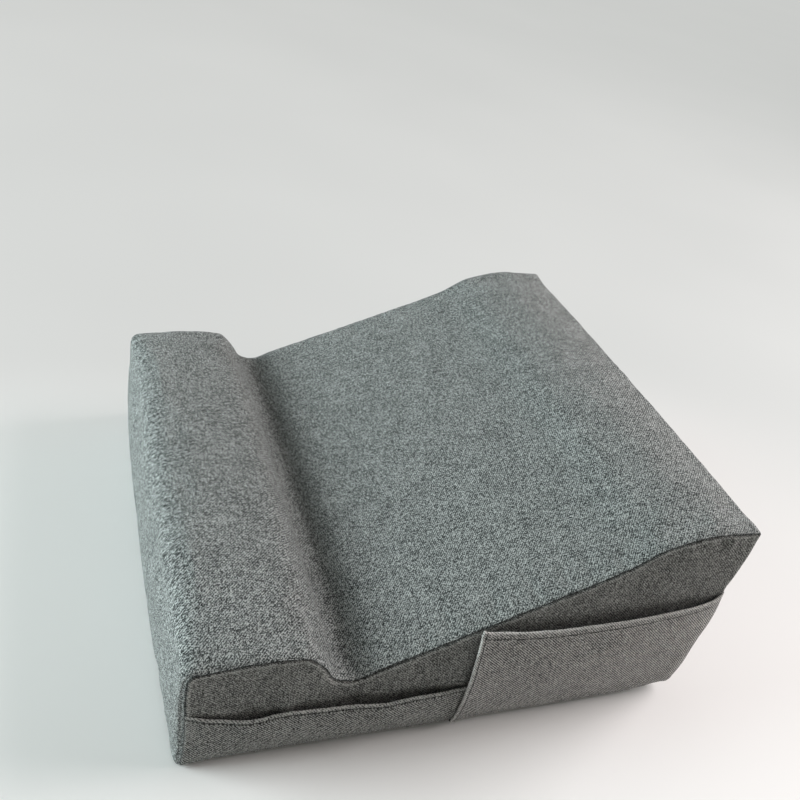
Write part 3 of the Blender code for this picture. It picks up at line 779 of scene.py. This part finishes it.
def make_wrap():
    """Front, wrist rest, notch and slope in one piece of cloth."""
    start, end = seam_inset * 0.7, SEAM_LENGTH - seam_inset
    x, s = np.meshgrid(across_places(across_step), start + edge_places(end - start, seam_step))
    points, outward, side_distance = wrap_surface(x, s)
    trial_x, trial_s = trial_places(start, end, *WRAP_TRIAL)
    trial, trial_outward, _ = wrap_surface(*np.meshgrid(trial_x, trial_s))
    swell = spread(blown(trial, trial_outward, wrap_play), trial_x, trial_s, x, s)
    end_distance = np.minimum(s - start, end - s)
    swell += seam_puckers(side_distance, np.where(x > 0, s, s + other_side), 21)
    swell += seam_puckers(end_distance, x + ripple_start, 31)
    edge = np.minimum(side_distance, end_distance)
    points = points + outward * (swell - roll_drop(edge))[..., None]
    coords = np.stack([x + across_start, s], axis=2)
    # Painted shade along the seam grooves
    make_panel("cover_wrap_panel", "top_panel", points, -outward, coords, seam_painted_shading(edge),
               flat=(2 * panel_reach, end - start))


# Side panels: points of their outline, how fast their grid's foot meets the front edge, and the steps
# and portions in which distances to the outline are looked for
outline_points = 2400
foot_power = 30
outline_step = 0.0004
points_at_once = 2000


def side_grid():
    """Grid of a side panel in Y and Z, a seam's width inside the seam line."""
    s = np.linspace(0.0, SEAM_LENGTH, outline_points)
    line = on_seam(s)
    y = line["y"] - line["ny"] * seam_inset
    z = line["z"] - line["nz"] * seam_inset
    keep = (z > edge_lift + seam_inset) & (y < pillow_depth - seam_inset)
    y, z, s = y[keep], z[keep], s[keep]
    corner = int(np.argmin(np.abs(s - (FRONT_TOP + front_corner_radius * math.pi / 4))))
    columns = edge_places(s[-1] - s[corner], side_steps[0])
    rows = edge_places(corner_height, side_steps[1])
    a, share = columns / columns[-1], rows / rows[-1]
    left_s = share * (s[corner] - s[0]) + s[0]
    top_y, top_z = (np.interp(columns + s[corner], s[corner:], values[corner:]) for values in (y, z))
    left_y, left_z = (np.interp(left_s, s[:corner + 1], values[:corner + 1]) for values in (y, z))
    foot_y = top_y + (left_y[0] - top_y[0]) * (1 - a) ** foot_power
    foot_z = bottom_height(half_width, top_y) + seam_inset
    right_y = np.full_like(share, top_y[-1])
    right_z = foot_z[-1] + share * (top_z[-1] - foot_z[-1])
    u, v = np.meshgrid(a, share)

    def blend(low, high, left, right):
        return ((1 - v) * low + v * high + (1 - u) * left[:, None] + u * right[:, None]
                - (1 - u) * (1 - v) * left[0] - u * (1 - v) * right[0]
                - (1 - u) * v * left[-1] - u * v * right[-1])

    return blend(foot_y, top_y, left_y, right_y), blend(foot_z, top_z, left_z, right_z)


def edge_distance(y, z, outline_y, outline_z):
    """Distance of each grid point to the outline, and the place along it of the nearest point."""
    step = np.concatenate([[0.0], np.cumsum(np.hypot(np.diff(outline_y), np.diff(outline_z)))])
    places = np.arange(0.0, step[-1], outline_step)
    oy, oz = np.interp(places, step, outline_y), np.interp(places, step, outline_z)
    flat_y, flat_z = y.ravel(), z.ravel()
    distance = np.empty(flat_y.size)
    along = np.empty(flat_y.size)
    for start in range(0, flat_y.size, points_at_once):
        part = slice(start, start + points_at_once)
        gaps = np.hypot(flat_y[part, None] - oy, flat_z[part, None] - oz)
        nearest = gaps.argmin(axis=1)
        distance[part] = gaps[np.arange(len(nearest)), nearest]
        along[part] = places[nearest]
    return distance.reshape(y.shape), along.reshape(y.shape)


def side_face(y, z):
    """Outer face of a side panel away from its rolled edges."""
    low = bottom_height(half_width, y)
    rise = (z - low) / (top_height(y) - low)
    return side_outer_x + side_crown * side_swell(y / pillow_depth) * side_swell(rise)


# Folds of the side panels: place, reach and height of each
SIDE_FOLDS = (
    (0.0500, 0.0455, 0.0036, 0.0100, 0.0016),
    (0.0300, 0.0440, 0.0060, 0.0060, -0.0010),
    (0.0715, 0.0530, 0.0035, 0.0060, 0.0010),
    (0.0850, 0.0420, 0.0060, 0.0100, -0.0008),
    (0.1200, 0.0580, 0.0200, 0.0090, 0.0006),
    (0.2870, 0.1338, 0.0024, 0.0042, -0.0026),
    (0.2928, 0.1330, 0.0024, 0.0050, 0.0016),
    (0.2750, 0.1180, 0.0120, 0.0140, 0.0007),
)
fold_margin = 0.0035
# Gathers under their top seam: height and length, how far down they reach, and where they are strongest
SIDE_GATHERS = ((0.00055, 0.0052), (0.00045, 0.0110))
gathers_fall = 0.011
gathers_least = 0.3
GATHERED = (0.095, 0.270)
gathered_reach = 0.030
# Slow waves of their faces
wave_height, wave_length, wave_margin = 0.0005, 0.030, 0.015


def side_folds(y, z, distance, seed):
    folds = np.zeros_like(y)
    for fold_y, fold_z, reach_y, reach_z, height in SIDE_FOLDS:
        folds += height * bump(y, fold_y, reach_y) * bump(z, fold_z, reach_z)
    below_seam = np.maximum(top_height(y) - z, 0.0)
    gathers = sum(height * ripple(y, length, seed + i) for i, (height, length) in enumerate(SIDE_GATHERS))
    strength = sum((bump(y, place, gathered_reach) for place in GATHERED), gathers_least)
    folds += gathers * np.exp(-below_seam / gathers_fall) * strength
    return folds * smooth_step(distance / fold_margin)


def make_side(name, node, side, seed):
    y, z = side_grid()
    outline_y, outline_z = (
        np.concatenate([grid[:, 0], grid[-1, 1:], grid[::-1, -1][1:], grid[0, ::-1][1:]]) for grid in (y, z))
    distance, along = edge_distance(y, z, outline_y, outline_z)
    x = side_face(y, z) - roll_drop(distance) + seam_puckers(distance, along, seed)
    x += wave_height * field(y, z, wave_length, seed + 5) * smooth_step(distance / wave_margin)
    x += side_folds(y, z, distance, seed + 7)
    points = np.stack([side * x, y, z], axis=2)
    coords = np.stack([y + side_start, z], axis=2)
    area = abs(np.sum(outline_y * np.roll(outline_z, -1) - np.roll(outline_y, -1) * outline_z)) / 2
    # Painted shade in the seam groove, and a painted highlight on the roll beside it
    painted_shading = seam_painted_shading(distance, side_roll_highlight)
    make_panel(name, node, points, facing(points, 0, -side), coords, painted_shading, SHADED_SIDE_CLOTH,
               flat=(np.ptp(outline_y), np.ptp(outline_z)), area=area)


# Back panels, parted by the zip's slot, and the bottom panel
slot_top = zip_height + zip_slot_half
slot_stitch = 0.0023
back_top = SEAM_KNOTS[-1][1]
BACK_TRIAL = (52, 20)
back_play = (-0.0008, 0.0018)
back_other_side = 0.1
slot_hem_share = 0.6
bottom_roll_share = 0.6


def back_rise(z):
    """From nought at the top of the zip's slot to 1 at the top seam."""
    return np.clip((z - slot_top) / (back_top - slot_top), 0, 1)


def back_face(x, z):
    """Outer face of the back, swollen between the zip's slot and the top seam."""
    rise = back_rise(z)
    return pillow_depth + (back_crown * np.sin(np.pi * rise) + back_seam_crown * rise ** 2) * width_swell(x)


def make_back_panels():
    for name, node, low, high, seed in (
            ("cover_back_panel_upper", "back_panel_upper", slot_top, back_top - seam_inset, 61),
            ("cover_back_panel_lower", "back_panel_lower", back_edge_lift + seam_inset * 0.5,
             zip_height - zip_slot_half, 71)):
        upper = node == "back_panel_upper"
        x, z = np.meshgrid(across_places(across_step), low + edge_places(high - low, back_step, SHORT_EDGE))
        y = back_face(x, z)
        if upper:
            trial_x, trial_z = trial_places(low, high, *BACK_TRIAL)
            grid = np.meshgrid(trial_x, trial_z)
            trial = np.stack([grid[0], back_face(*grid), grid[1]], axis=2)
            y += spread(blown(trial, facing(trial, 1, 1.0), back_play), trial_x, trial_z, x, z)
        to_slot = z - low if upper else high - z
        to_seam = high - low - to_slot
        to_side = panel_reach - np.abs(x)
        edge = np.minimum(to_side, to_seam)
        y += (seam_puckers(to_side, z + back_other_side * (x > 0), seed)
              + seam_puckers(to_seam, x + ripple_start, seed + 4))
        y += hem_marks(to_slot, x + ripple_start, slot_stitch, seed + 2)
        y -= np.maximum(roll_drop(edge), roll_drop(to_slot, cloth_thickness / 2))
        points = np.stack([x, y, z + SEAM_KNOTS[-1][2] * width_swell(x) * back_rise(z) ** 2], axis=2)
        depth = facing(points, 1, -1.0)
        coords = np.stack([x + across_start, z + back_start], axis=2)
        row = int(np.argmin(np.abs(to_slot[:, 0] - slot_stitch)))
        stitches = stitch_row(name + "_stitches", points[row, 6:-6], -depth[row, 6:-6])
        # Painted shade along the seams, and the slot hem's painted highlights and shade
        painted_shading = seam_painted_shading(edge) + slot_hem_share * hem_painted_shading(to_slot, slot_stitch)
        make_panel(name, node, points, depth, coords, painted_shading, free="first" if upper else "last",
                   fold=low if upper else high, flat=(2 * panel_reach, high - low), with_pieces=[stitches])


def make_bottom():
    front, back = seam_inset * 0.5, pillow_depth - seam_inset
    x, y = np.meshgrid(across_places(bottom_step, SHORT_EDGE),
                       front + edge_places(back - front, bottom_step, SHORT_EDGE))
    z = bottom_height(x, y) + floor_clearance
    edge = np.minimum(panel_reach - np.abs(x), np.minimum(y - front, back - y))
    z += roll_drop(edge) * bottom_roll_share
    shifted = y - FRONT_CROWN[0][1] * front_swell(x) * np.maximum(0.0, 1 - y / foot_crown_fade)
    points = np.stack([x, shifted, z], axis=2)
    coords = np.stack([x, y + bottom_start], axis=2)
    # Painted shade along the seam grooves
    make_panel("cover_bottom_panel", "bottom_panel", points, facing(points, 2, 1.0), coords, seam_painted_shading(edge),
               flat=(2 * panel_reach, back - front))


# Pockets: height of each hem, and how far it stands open, along the pocket

LOW_HEM = ((0.0, 0.0434), (0.005, 0.0430), (0.011, 0.0412), (0.018, 0.0401), (0.028, 0.0396),
           (0.036, 0.0398), (0.046, 0.0412), (0.053, 0.0420), (0.070, 0.0416), (0.085, 0.0412),
           (0.096, 0.0404), (0.105, 0.0396), (0.111, 0.0408), (0.122, 0.0414), (0.137, 0.0406),
           (0.150, 0.0395), (0.163, 0.0390))
LOW_OPEN = ((0.0, 0.0), (0.014, 0.0002), (0.022, 0.0012), (0.031, 0.0026), (0.045, 0.0020), (0.052, 0.0022),
            (0.080, 0.0030), (0.106, 0.0034), (0.135, 0.0022), (0.150, 0.0004), (0.163, 0.0))
TALL_HEM = ((0.152, 0.0872), (0.1545, 0.0856), (0.160, 0.0845), (0.180, 0.0838), (0.205, 0.0842),
            (0.240, 0.0850), (0.262, 0.0858), (0.280, 0.0862), (0.298, 0.0868), (0.305, 0.0880),
            (0.3115, 0.0906))
TALL_OPEN = ((0.152, 0.0014), (0.158, 0.0018), (0.175, 0.0034), (0.205, 0.0046), (0.240, 0.0048),
             (0.275, 0.0038), (0.293, 0.0024), (0.303, 0.0010), (0.3115, 0.0))
low_pocket_end = 0.163
overlap_start = 0.152
overlap_sink, overlap_fade = 0.0005, 0.006
hem_extra = 0.0009
hem_turn = 0.0006
hem_step = 0.0010
hem_sewn_start, hem_sewn_fade = 0.15, 0.008
hem_round = (cloth_thickness + hem_extra) / 2
sewn_lift = 0.0005
sewn_fade = 0.010
sewn_edge_shade_width = 0.00045
front_stand, front_stand_fade, front_lean_fade = 0.0013, 0.018, 0.060
open_share_top, open_power = 0.9, 1.3
sag_depth = 0.0012
pocket_wave_height, pocket_wave_length = 0.0006, 0.022
least_thickness = 0.00006
# Stitch grooves of the hems, and their painted light: a painted highlight on the fold, painted shade in the
# groove and a painted highlight on the cloth behind it
groove_depth, stitch_dip, stitch_groove = 0.00050, 0.00018, 0.00048
puff_height, puff_length, puff_reach = 0.00016, 0.0048, 0.004
fold_highlight_tone, fold_highlight_width, front_fold_highlight_width = 1.10, 0.0009, 0.0015
stitch_groove_shade_tone, stitch_groove_shade_width = 1.6, 0.00046
behind_highlight_tone, behind_place, behind_highlight_width = 0.40, 0.0010, 0.0004
front_tone, palest = 0.9, 1.1


def hem_layer(distance, width):
    """How much thicker the cloth is where it is turned back on itself."""
    return hem_extra * (1 - smooth_step((distance - width - hem_turn) / hem_step))


def hem_marks(distance, along, width, seed):
    """Stitch groove of a hem, and the small puffs that the stitches raise between them and the edge."""
    stitch = 0.5 + 0.5 * np.cos(2 * np.pi * along / stitch_length)
    groove = -(groove_depth + stitch_dip * stitch) * bump(distance, width, stitch_groove)
    return groove + puff_height * ripple(along, puff_length, seed) * np.exp(-distance / puff_reach)


def hem_painted_shading(distance, width, highlight_reach=fold_highlight_width, line=stitch_groove_shade_tone):
    """Painted highlight along the fold of a hem, painted shade in its stitch groove and a painted highlight
    behind it.
    """
    return (fold_highlight_tone * bump(distance, 0.0, highlight_reach) - line * bump(distance, width, stitch_groove_shade_width)
            + behind_highlight_tone * bump(distance, width + behind_place, behind_highlight_width))


# Points of a pocket below its hem, and behind a front hem, given in millimetres
HEM_PLACES = np.array([0.0, 0.06, 0.15, 0.28, 0.45, 0.65, 0.90, 1.25, 1.55, 1.80, 2.0, 2.2,
                       2.45, 2.8, 3.3, 3.9, 4.25, 4.5, 4.75, 5.0, 5.4, 6.2, 7.4, 9.0]) / 1000


def make_pocket(name, node, start, end, hem, opening, hem_width, front_hem, front_lean, hem_groove_shade, seed,
                material):
    """Pocket sewn to the side panel. With a front hem, its front edge is a fold that is stitched down."""
    length = end - start
    first = HEM_PLACES if front_hem else NEAR_EDGE
    free_length = length - first[-1] - NEAR_EDGE[-1]
    count = int(free_length / pocket_step)
    inner = first[-1] + free_length * np.arange(1, count) / count
    ys = start + np.concatenate([first, inner, (length - NEAR_EDGE)[::-1]])
    tops = curve_values(hem, ys)
    lows = bottom_height(half_width, ys) + seam_inset
    rows = [tops - d for d in HEM_PLACES]
    rest = tops - HEM_PLACES[-1] - lows - NEAR_EDGE[-1]
    rows += [lows + NEAR_EDGE[-1] + rest * (1 - share) for share in np.arange(1, 14) / 14.0]
    rows += [lows + d for d in NEAR_EDGE[::-1]]
    z = np.array(rows)
    y = np.broadcast_to(ys, z.shape)
    rise = (z - lows) / (tops - lows)
    below_top, above_low, from_front = tops - z, z - lows, y - start
    sewn = np.minimum(above_low, end - y if front_hem else from_front)
    lift = sewn_lift + (gap + fabric - sewn_lift) * smooth_step(sewn / sewn_fade)
    if front_hem:
        lift += front_stand * (1 - smooth_step(from_front / front_stand_fade))
    else:
        lift -= overlap_sink * smooth_step((y - overlap_start) / overlap_fade)
    open_share = np.sin(np.pi / 2 * np.clip(rise / open_share_top, 0, 1)) ** open_power
    across = (y - (start + end) / 2) * pillow_width / length
    sag = sag_depth * np.sin(np.pi * np.clip(rise, 0, 1)) * width_swell(across)
    x = side_face(y, z) + lift + curve_values(opening, ys) * open_share + sag
    x += pocket_wave_height * field(y, z, pocket_wave_length, seed) * np.clip(rise * (1 - rise) * 4, 0, 1)
    layer = hem_layer(below_top, hem_width) * smooth_step(hem_sewn_start + sewn / hem_sewn_fade)
    edge = roll_drop(below_top, hem_round)
    x += hem_marks(below_top, y, hem_width, seed + 1)
    if front_hem:
        layer = np.maximum(layer, hem_layer(from_front, front_hem))
        edge = np.maximum(edge, roll_drop(from_front, hem_round))
        x += hem_marks(from_front, z, front_hem, seed + 2)
    x += layer - edge - roll_drop(sewn, roll_radius + sewn_lift)
    x += seam_puckers(above_low, y, seed + 3)
    coords = np.stack([y + seed * 0.01, z], axis=2)
    leaning = y - front_lean * rise * (1 - smooth_step(from_front / front_lean_fade))
    points = np.stack([x, leaning, z], axis=2)
    depth = facing(points, 0, -1.0)
    thickness = np.maximum(cloth_thickness + layer - 2 * edge, least_thickness)
    # Painted shade along the sewn edges and the seam groove, a painted highlight on the roll, and the hems'
    # painted highlights and shade, capped at the palest
    painted_shading = seam_painted_shading(sewn, pocket_roll_highlight) - sewn_edge_shade * bump(sewn, 0.0, sewn_edge_shade_width)
    painted_shading += hem_painted_shading(below_top, hem_width, line=hem_groove_shade)
    if front_hem:
        painted_shading += front_tone * hem_painted_shading(from_front, front_hem, front_fold_highlight_width, hem_groove_shade)
        painted_shading = np.minimum(painted_shading, palest)
    piece = cloth_object(name, points, coords, material, depth, painted_shading, thickness)
    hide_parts(node)
    row = int(np.argmin(np.abs(HEM_PLACES - hem_width)))
    threads = [stitch_row(name + "_hem_stitches", points[row, 4:-6], -depth[row, 4:-6], 0.001)]
    if front_hem:
        column = int(np.argmin(np.abs(HEM_PLACES - front_hem)))
        threads.append(
            stitch_row(name + "_edge_stitches", points[row:-8, column], -depth[row:-8, column], 0.0005))


# Threads and zip

def tube(path, radii, sides, twist_up):
    """Vertices and faces of a closed tube along the path; the radii may change from point to point."""
    path = np.asarray(path)
    along = unit(np.gradient(path, axis=0))
    side = unit(np.cross(along, twist_up))
    up = np.cross(side, along)
    angles = 2 * np.pi * np.arange(sides) / sides
    ring = side[:, None] * np.cos(angles)[:, None] + up[:, None] * np.sin(angles)[:, None]
    verts = path[:, None] + ring * np.broadcast_to(radii, len(path))[:, None, None]
    index = np.arange(len(path) * sides).reshape(-1, sides)
    faces = quads_of(np.column_stack([index, index[:, 0]])).tolist()
    return verts.reshape(-1, 3), faces + [index[0, ::-1].tolist(), index[-1].tolist()]


def mesh_from_tubes(name, tubes, material):
    verts, faces = [], []
    count = 0
    for points, polygons in tubes:
        verts.append(points)
        faces += [tuple(i + count for i in polygon) for polygon in polygons]
        count += len(points)
    return finish_mesh(name, new_mesh(name, np.concatenate(verts), faces), material)


def stitch_row(name, path, outward, start=0.0):
    """Row of sewing stitches along a path: each stands a little proud and dives in at its ends."""
    path = settled(np.asarray(path)) - CENTRE
    length = np.concatenate([[0.0], np.cumsum(np.linalg.norm(np.diff(path, axis=0), axis=1))])
    tubes = []
    share = np.linspace(0.0, 1.0, stitch_points)
    arch = np.sin(np.pi * share)
    rise = stitch_rise * arch ** 0.5 - stitch_sink * (1 - arch) ** 3
    while start + stitch_length < length[-1]:
        places = start + share * stitch_length * stitch_share
        points, lift = (np.stack([np.interp(places, length, values[:, k]) for k in range(3)], axis=1)
                        for values in (path, outward))
        tubes.append(tube(points + lift * rise[:, None], thread_radius, thread_sides, lift.mean(axis=0)))
        start += stitch_length
    piece = mesh_from_tubes(name, tubes, THREAD)
    return piece


def coil_shift(x):
    """How far a coil half stands off the centre line: nought, until the slider parts the halves."""
    slider_place = chain_half_length - slider_length / 2
    share = np.clip((x - slider_place) / slider_spread_length + 0.5, 0.0, 1.0)
    return coil_spread * smooth_step(share)


# Filament of the coil: points in a turn, flatness of the turns, swell of the heads, sides of its tubes
turn_points = 14
turn_power, head_power, head_swell = 0.8, 4, 0.16
filament_sides, core_sides, core_step = 7, 8, 0.001


def make_coil(name, node, side, material):
    """One half of the zip's teeth: a nylon filament wound in flat turns, each with a thick head."""
    turns = int(2 * chain_half_length / coil_pitch) - 1
    angle = np.arange(turns * turn_points + 1) * 2 * np.pi / turn_points
    x = -chain_half_length + coil_pitch * (0.5 + 0.25 * side) + coil_pitch * angle / (2 * np.pi)
    inner = -coil_overlap + filament_radius
    outer = coil_half_width - filament_radius
    wave = np.cos(angle)
    flattened = np.sign(wave) * np.abs(wave) ** turn_power
    height = (inner + outer) / 2 + (outer - inner) / 2 * flattened + coil_shift(x)
    depth = coil_middle + (coil_thickness / 2 - filament_radius) * np.sin(angle)
    head = np.clip(-wave, 0.0, 1.0) ** head_power
    path = np.stack([x, pillow_depth - depth, zip_height + side * height], axis=1) - CENTRE
    places = np.arange(-chain_half_length, chain_half_length, core_step)
    core = np.stack([places, np.full_like(places, pillow_depth - coil_middle - core_sink),
                     zip_height + side * (coil_core + coil_shift(places))], axis=1) - CENTRE
    tubes = [tube(path, filament_radius * (1 + head_swell * head), filament_sides, np.array([1.0, 0.0, 0.0])),
             tube(core, core_radius, core_sides, np.array([0.0, 1.0, 0.0]))]
    piece = mesh_from_tubes(name, tubes, material)
    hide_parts(node)


# Tape: its edge places, its bead, its slow waves, and where it closes beyond the end of the chain. Its
# edges are less round than a circle.
TAPE_EDGE = np.array([0.0, 0.1, 0.25, 0.45, 0.7]) / 1000
TAPE_MIDDLE = np.linspace(0.0012, 0.0090, 10)
TAPE_END = chain_half_length + np.linspace(0.002, 0.005, 16)
tape_reach = half_width + 0.0008
tape_closing, tape_closing_length = 0.0023, 0.0012
bead_height, bead_place, bead_width = 0.00012, 0.0006, 0.0004
tape_wave_height, tape_wave_length = 0.00006, 0.006
tape_trim = 0.0001
tape_roll, tape_columns = 0.6, 141
tape_stitch_height = 0.0042


def make_tape(name, node, side, material):
    """Woven tape behind the slot, with a bead along its inner edge and a row of stitches beside the coil."""
    heights = tape_inner_edge + np.concatenate([TAPE_EDGE, TAPE_MIDDLE, tape_width - TAPE_EDGE[::-1]])
    xs = np.unique(np.concatenate([np.linspace(-tape_reach, tape_reach, tape_columns), TAPE_END, -TAPE_END]))
    x, h = np.meshgrid(xs, heights)
    edge = np.minimum(h - tape_inner_edge, tape_inner_edge + tape_width - h)
    rolled = roll_drop(edge, tape_thickness / 2)
    bead = bead_height * bump(h, tape_inner_edge + bead_place, bead_width)
    beyond = smooth_step((np.abs(x) - chain_half_length - tape_closing) / tape_closing_length)
    h = h - (tape_inner_edge - tape_trim) * beyond * (1 - (h - tape_inner_edge) / tape_width)
    rise = bead - tape_roll * rolled + tape_wave_height * ripple(x + ripple_start, tape_wave_length, 7 + side)
    points = np.stack([x, pillow_depth - tape_front + rise, zip_height + side * h], axis=2)
    coords = np.stack([x + across_start, h], axis=2)
    piece = cloth_object(name, points, coords, material, facing(points, 1, -1.0), np.zeros(x.shape),
                         tape_thickness - tape_trim - 2 * tape_roll * rolled)
    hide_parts(node)
    row = np.stack([xs, np.full_like(xs, pillow_depth - tape_front),
                    np.full_like(xs, zip_height + side * tape_stitch_height)], axis=1)
    stitches = stitch_row(name + "_stitches", row, facing(row, 1, 1.0))


# Foam: size of its remesh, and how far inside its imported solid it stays, more in the notch and the front
foam_voxel = 0.004
foam_smoothing = 6
foam_inset = 0.0012
foam_notch_inset, foam_notch_reach, foam_foot = 0.0004, 0.014, 0.02
foam_front, foam_front_inset, foam_front_fade = 0.010, 0.0046, 0.012


def make_foam():
    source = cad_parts["foam_core"]
    mesh = source.data.copy()
    mesh.materials.clear()
    mesh.name = "foam_block"
    piece = add_object("foam_block", mesh)
    remesh = piece.modifiers.new("remesh", 'REMESH')
    remesh.mode = 'VOXEL'
    remesh.voxel_size = foam_voxel
    smooth = piece.modifiers.new("smooth", 'SMOOTH')
    smooth.iterations = foam_smoothing
    graph = bpy.context.evaluated_depsgraph_get()
    done = bpy.data.meshes.new_from_object(piece.evaluated_get(graph))
    piece.modifiers.clear()
    piece.data = done
    packed = source.data
    solid = BVHTree.FromPolygons([v.co for v in packed.vertices], [p.vertices for p in packed.polygons])
    notch_y = float(np.interp(NOTCH, SEAM["s"], SEAM["y"])) - CENTRE[1]
    front_y = foam_front - CENTRE[1]
    for vertex in done.vertices:
        place, normal, _, _ = solid.find_nearest(vertex.co)
        in_notch = bump(vertex.co.y, notch_y, foam_notch_reach) * (vertex.co.z > foam_foot)
        inset = foam_inset + (notch_dip + foam_notch_inset) * in_notch
        inset += foam_front_inset * float(smooth_step((front_y - vertex.co.y) / foam_front_fade))
        if (vertex.co - place).dot(normal) > -inset:
            vertex.co = place - normal * inset
        vertex.co = Vector(settled(np.array(vertex.co) + CENTRE) - CENTRE)
    done.materials.clear()
    done.materials.append(foam_material())
    done.shade_smooth()
    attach(piece, "pillow")
    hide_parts("foam_core")


# Camera at the photograph's place: which way lie its right and its view, where it stands, and its lens
CAMERA_RIGHT = (0.30546, 0.92904, 0.20875)
CAMERA_AHEAD = (-0.74751, 0.36976, -0.55181)
CAMERA_PLACE = (0.40745, -0.2094, 0.4256)
sensor_width = 36.0
lens = 39.03


def make_camera():
    right, ahead = Vector(CAMERA_RIGHT).normalized(), Vector(CAMERA_AHEAD).normalized()
    up = right.cross(ahead).normalized()
    data = bpy.data.cameras.new("camera")
    data.sensor_width = sensor_width
    data.lens = lens
    camera = add_object("camera", data)
    turned = Matrix((right, up, -ahead)).transposed().to_4x4()
    turned.translation = Vector(CAMERA_PLACE)
    camera.matrix_world = turned
    bpy.context.scene.camera = camera


# Floor: half its size, its two tones, and the patch by the pillow that only the lamps light. Beyond the
# patch and to its left, what the camera sees is dimmed and glows a little, so that it is even.
floor_half = 9.0
FLOOR_TONES = ((0.2, (0.86, 0.86, 0.86)), (0.8, (0.91, 0.91, 0.91)))
PATCH_MIDDLE = (0.0, -0.25, 0.0)
PATCH_FADE = (0.30, 0.85)
LEFT_FADE = (-0.04, -0.26)
floor_dimming, floor_glow = -0.76, 0.55


def make_floor():
    bm = bmesh.new()
    bmesh.ops.create_grid(bm, x_segments=8, y_segments=8, size=floor_half)
    mesh = bpy.data.meshes.new("floor")
    bm.to_mesh(mesh)
    bm.free()
    n = Nodes("pale_floor")
    place = n.place()
    away = n.add("ShaderNodeVectorMath", operation='DISTANCE')
    n.set(away, 0, place)
    n.set(away, 1, PATCH_MIDDLE)
    path = n.add("ShaderNodeLightPath").outputs
    seen = n.math('MAXIMUM', path["Is Camera Ray"], path["Is Glossy Ray"])
    far = n.fade(away.outputs["Value"], *PATCH_FADE)
    left = n.fade(n.feed(n.add("ShaderNodeSeparateXYZ"), Vector=place)[0], *LEFT_FADE)
    near = n.math('MULTIPLY', n.math('SUBTRACT', 1.0, far), n.math('SUBTRACT', 1.0, left))
    even = n.math('MULTIPLY', seen, n.math('SUBTRACT', 1.0, near))
    level = n.math('MULTIPLY_ADD', even, floor_dimming, n.ramp(n.noise(place, 2.0), *FLOOR_TONES))
    n.principled(Base_Color=n.vector(level, level, n.math('MULTIPLY', level, 0.99)), Roughness=0.6,
                 Emission_Color=(0.98, 1.0, 0.98, 1.0),
                 Emission_Strength=n.math('MULTIPLY', even, floor_glow))
    mesh.materials.append(n.material)
    add_object("floor", mesh)


# Lamps: place, what each points at, size, power and colour
COOL, WARM = (0.88, 0.99, 1.0), (1.0, 0.93, 0.93)
LAMPS = {
    "window_front": ((-0.35, -1.5, 0.85), (0.0, 0.0, 0.05), 1.1, 12.5, COOL),
    "window_front_low": ((-0.30, -1.7, 0.48), (0.0, 0.0, 0.05), 1.0, 24.0, COOL),
    "window_back": ((0.05, 1.45, 0.92), (0.0, 0.1, 0.05), 1.2, 28.0, WARM),
    "window_back_low": ((0.0, 1.6, 0.47), (0.0, 0.1, 0.09), 0.8, 8.0, WARM),
}
ROOM_COLOUR = (1.0, 0.97, 0.90, 1.0)
room_strength = 0.24


def add_lamp(name, place, target, size, power, colour):
    data = bpy.data.lights.new(name, 'AREA')
    data.shape = 'DISK'
    data.size = size
    data.energy = power
    data.color = colour
    lamp = add_object(name, data)
    lamp.location = place
    lamp.rotation_euler = (Vector(target) - Vector(place)).to_track_quat('-Z', 'Y').to_euler()


def make_light():
    world = bpy.data.worlds.new("soft_room")
    world.use_nodes = True
    background = world.node_tree.nodes["Background"].inputs
    background["Color"].default_value = ROOM_COLOUR
    background["Strength"].default_value = room_strength
    bpy.context.scene.world = world
    for name, lamp in LAMPS.items():
        add_lamp(name, *lamp)


def main():
    bpy.context.scene.view_settings.view_transform = 'Standard'
    make_camera()
    make_light()
    make_floor()
    make_foam()
    make_wrap()
    make_side("cover_side_panel_right", "side_panel_right", 1, 41)
    make_side("cover_side_panel_left", "side_panel_left", -1, 51)
    make_back_panels()
    make_bottom()
    make_pocket("low_pocket", "front_pocket", seam_inset * 0.6, low_pocket_end, LOW_HEM, LOW_OPEN,
                hem_width=0.0020, front_hem=0.0, front_lean=0.0, hem_groove_shade=1.8, seed=81,
                material=SHADED_LOW_POCKET_CLOTH)
    make_pocket("tall_pocket", "rear_pocket", overlap_start, pillow_depth - seam_inset * 0.6, TALL_HEM,
                TALL_OPEN, hem_width=0.0045, front_hem=0.0022, front_lean=0.0028, hem_groove_shade=0.9, seed=91,
                material=LIT_TALL_POCKET_CLOTH)
    metal = metal_material()
    coil = coil_material()
    tape = tape_material()
    for name in ("zip_slider", "zip_pull_tab", "zip_top_stop_upper", "zip_top_stop_lower", "zip_bottom_stop"):
        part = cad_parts[name]
        part.material_slots[0].material = metal
        bevel = part.modifiers.new("worn_edges", 'BEVEL')
        bevel.width = worn_edge
        bevel.segments = 2
        bevel.limit_method = 'ANGLE'
    for half, side in (("upper", 1), ("lower", -1)):
        make_coil("coil_filament_" + half, "zip_coil_" + half, side, coil)
        make_tape("woven_tape_" + half, "zip_tape_" + half, side, tape)


main()
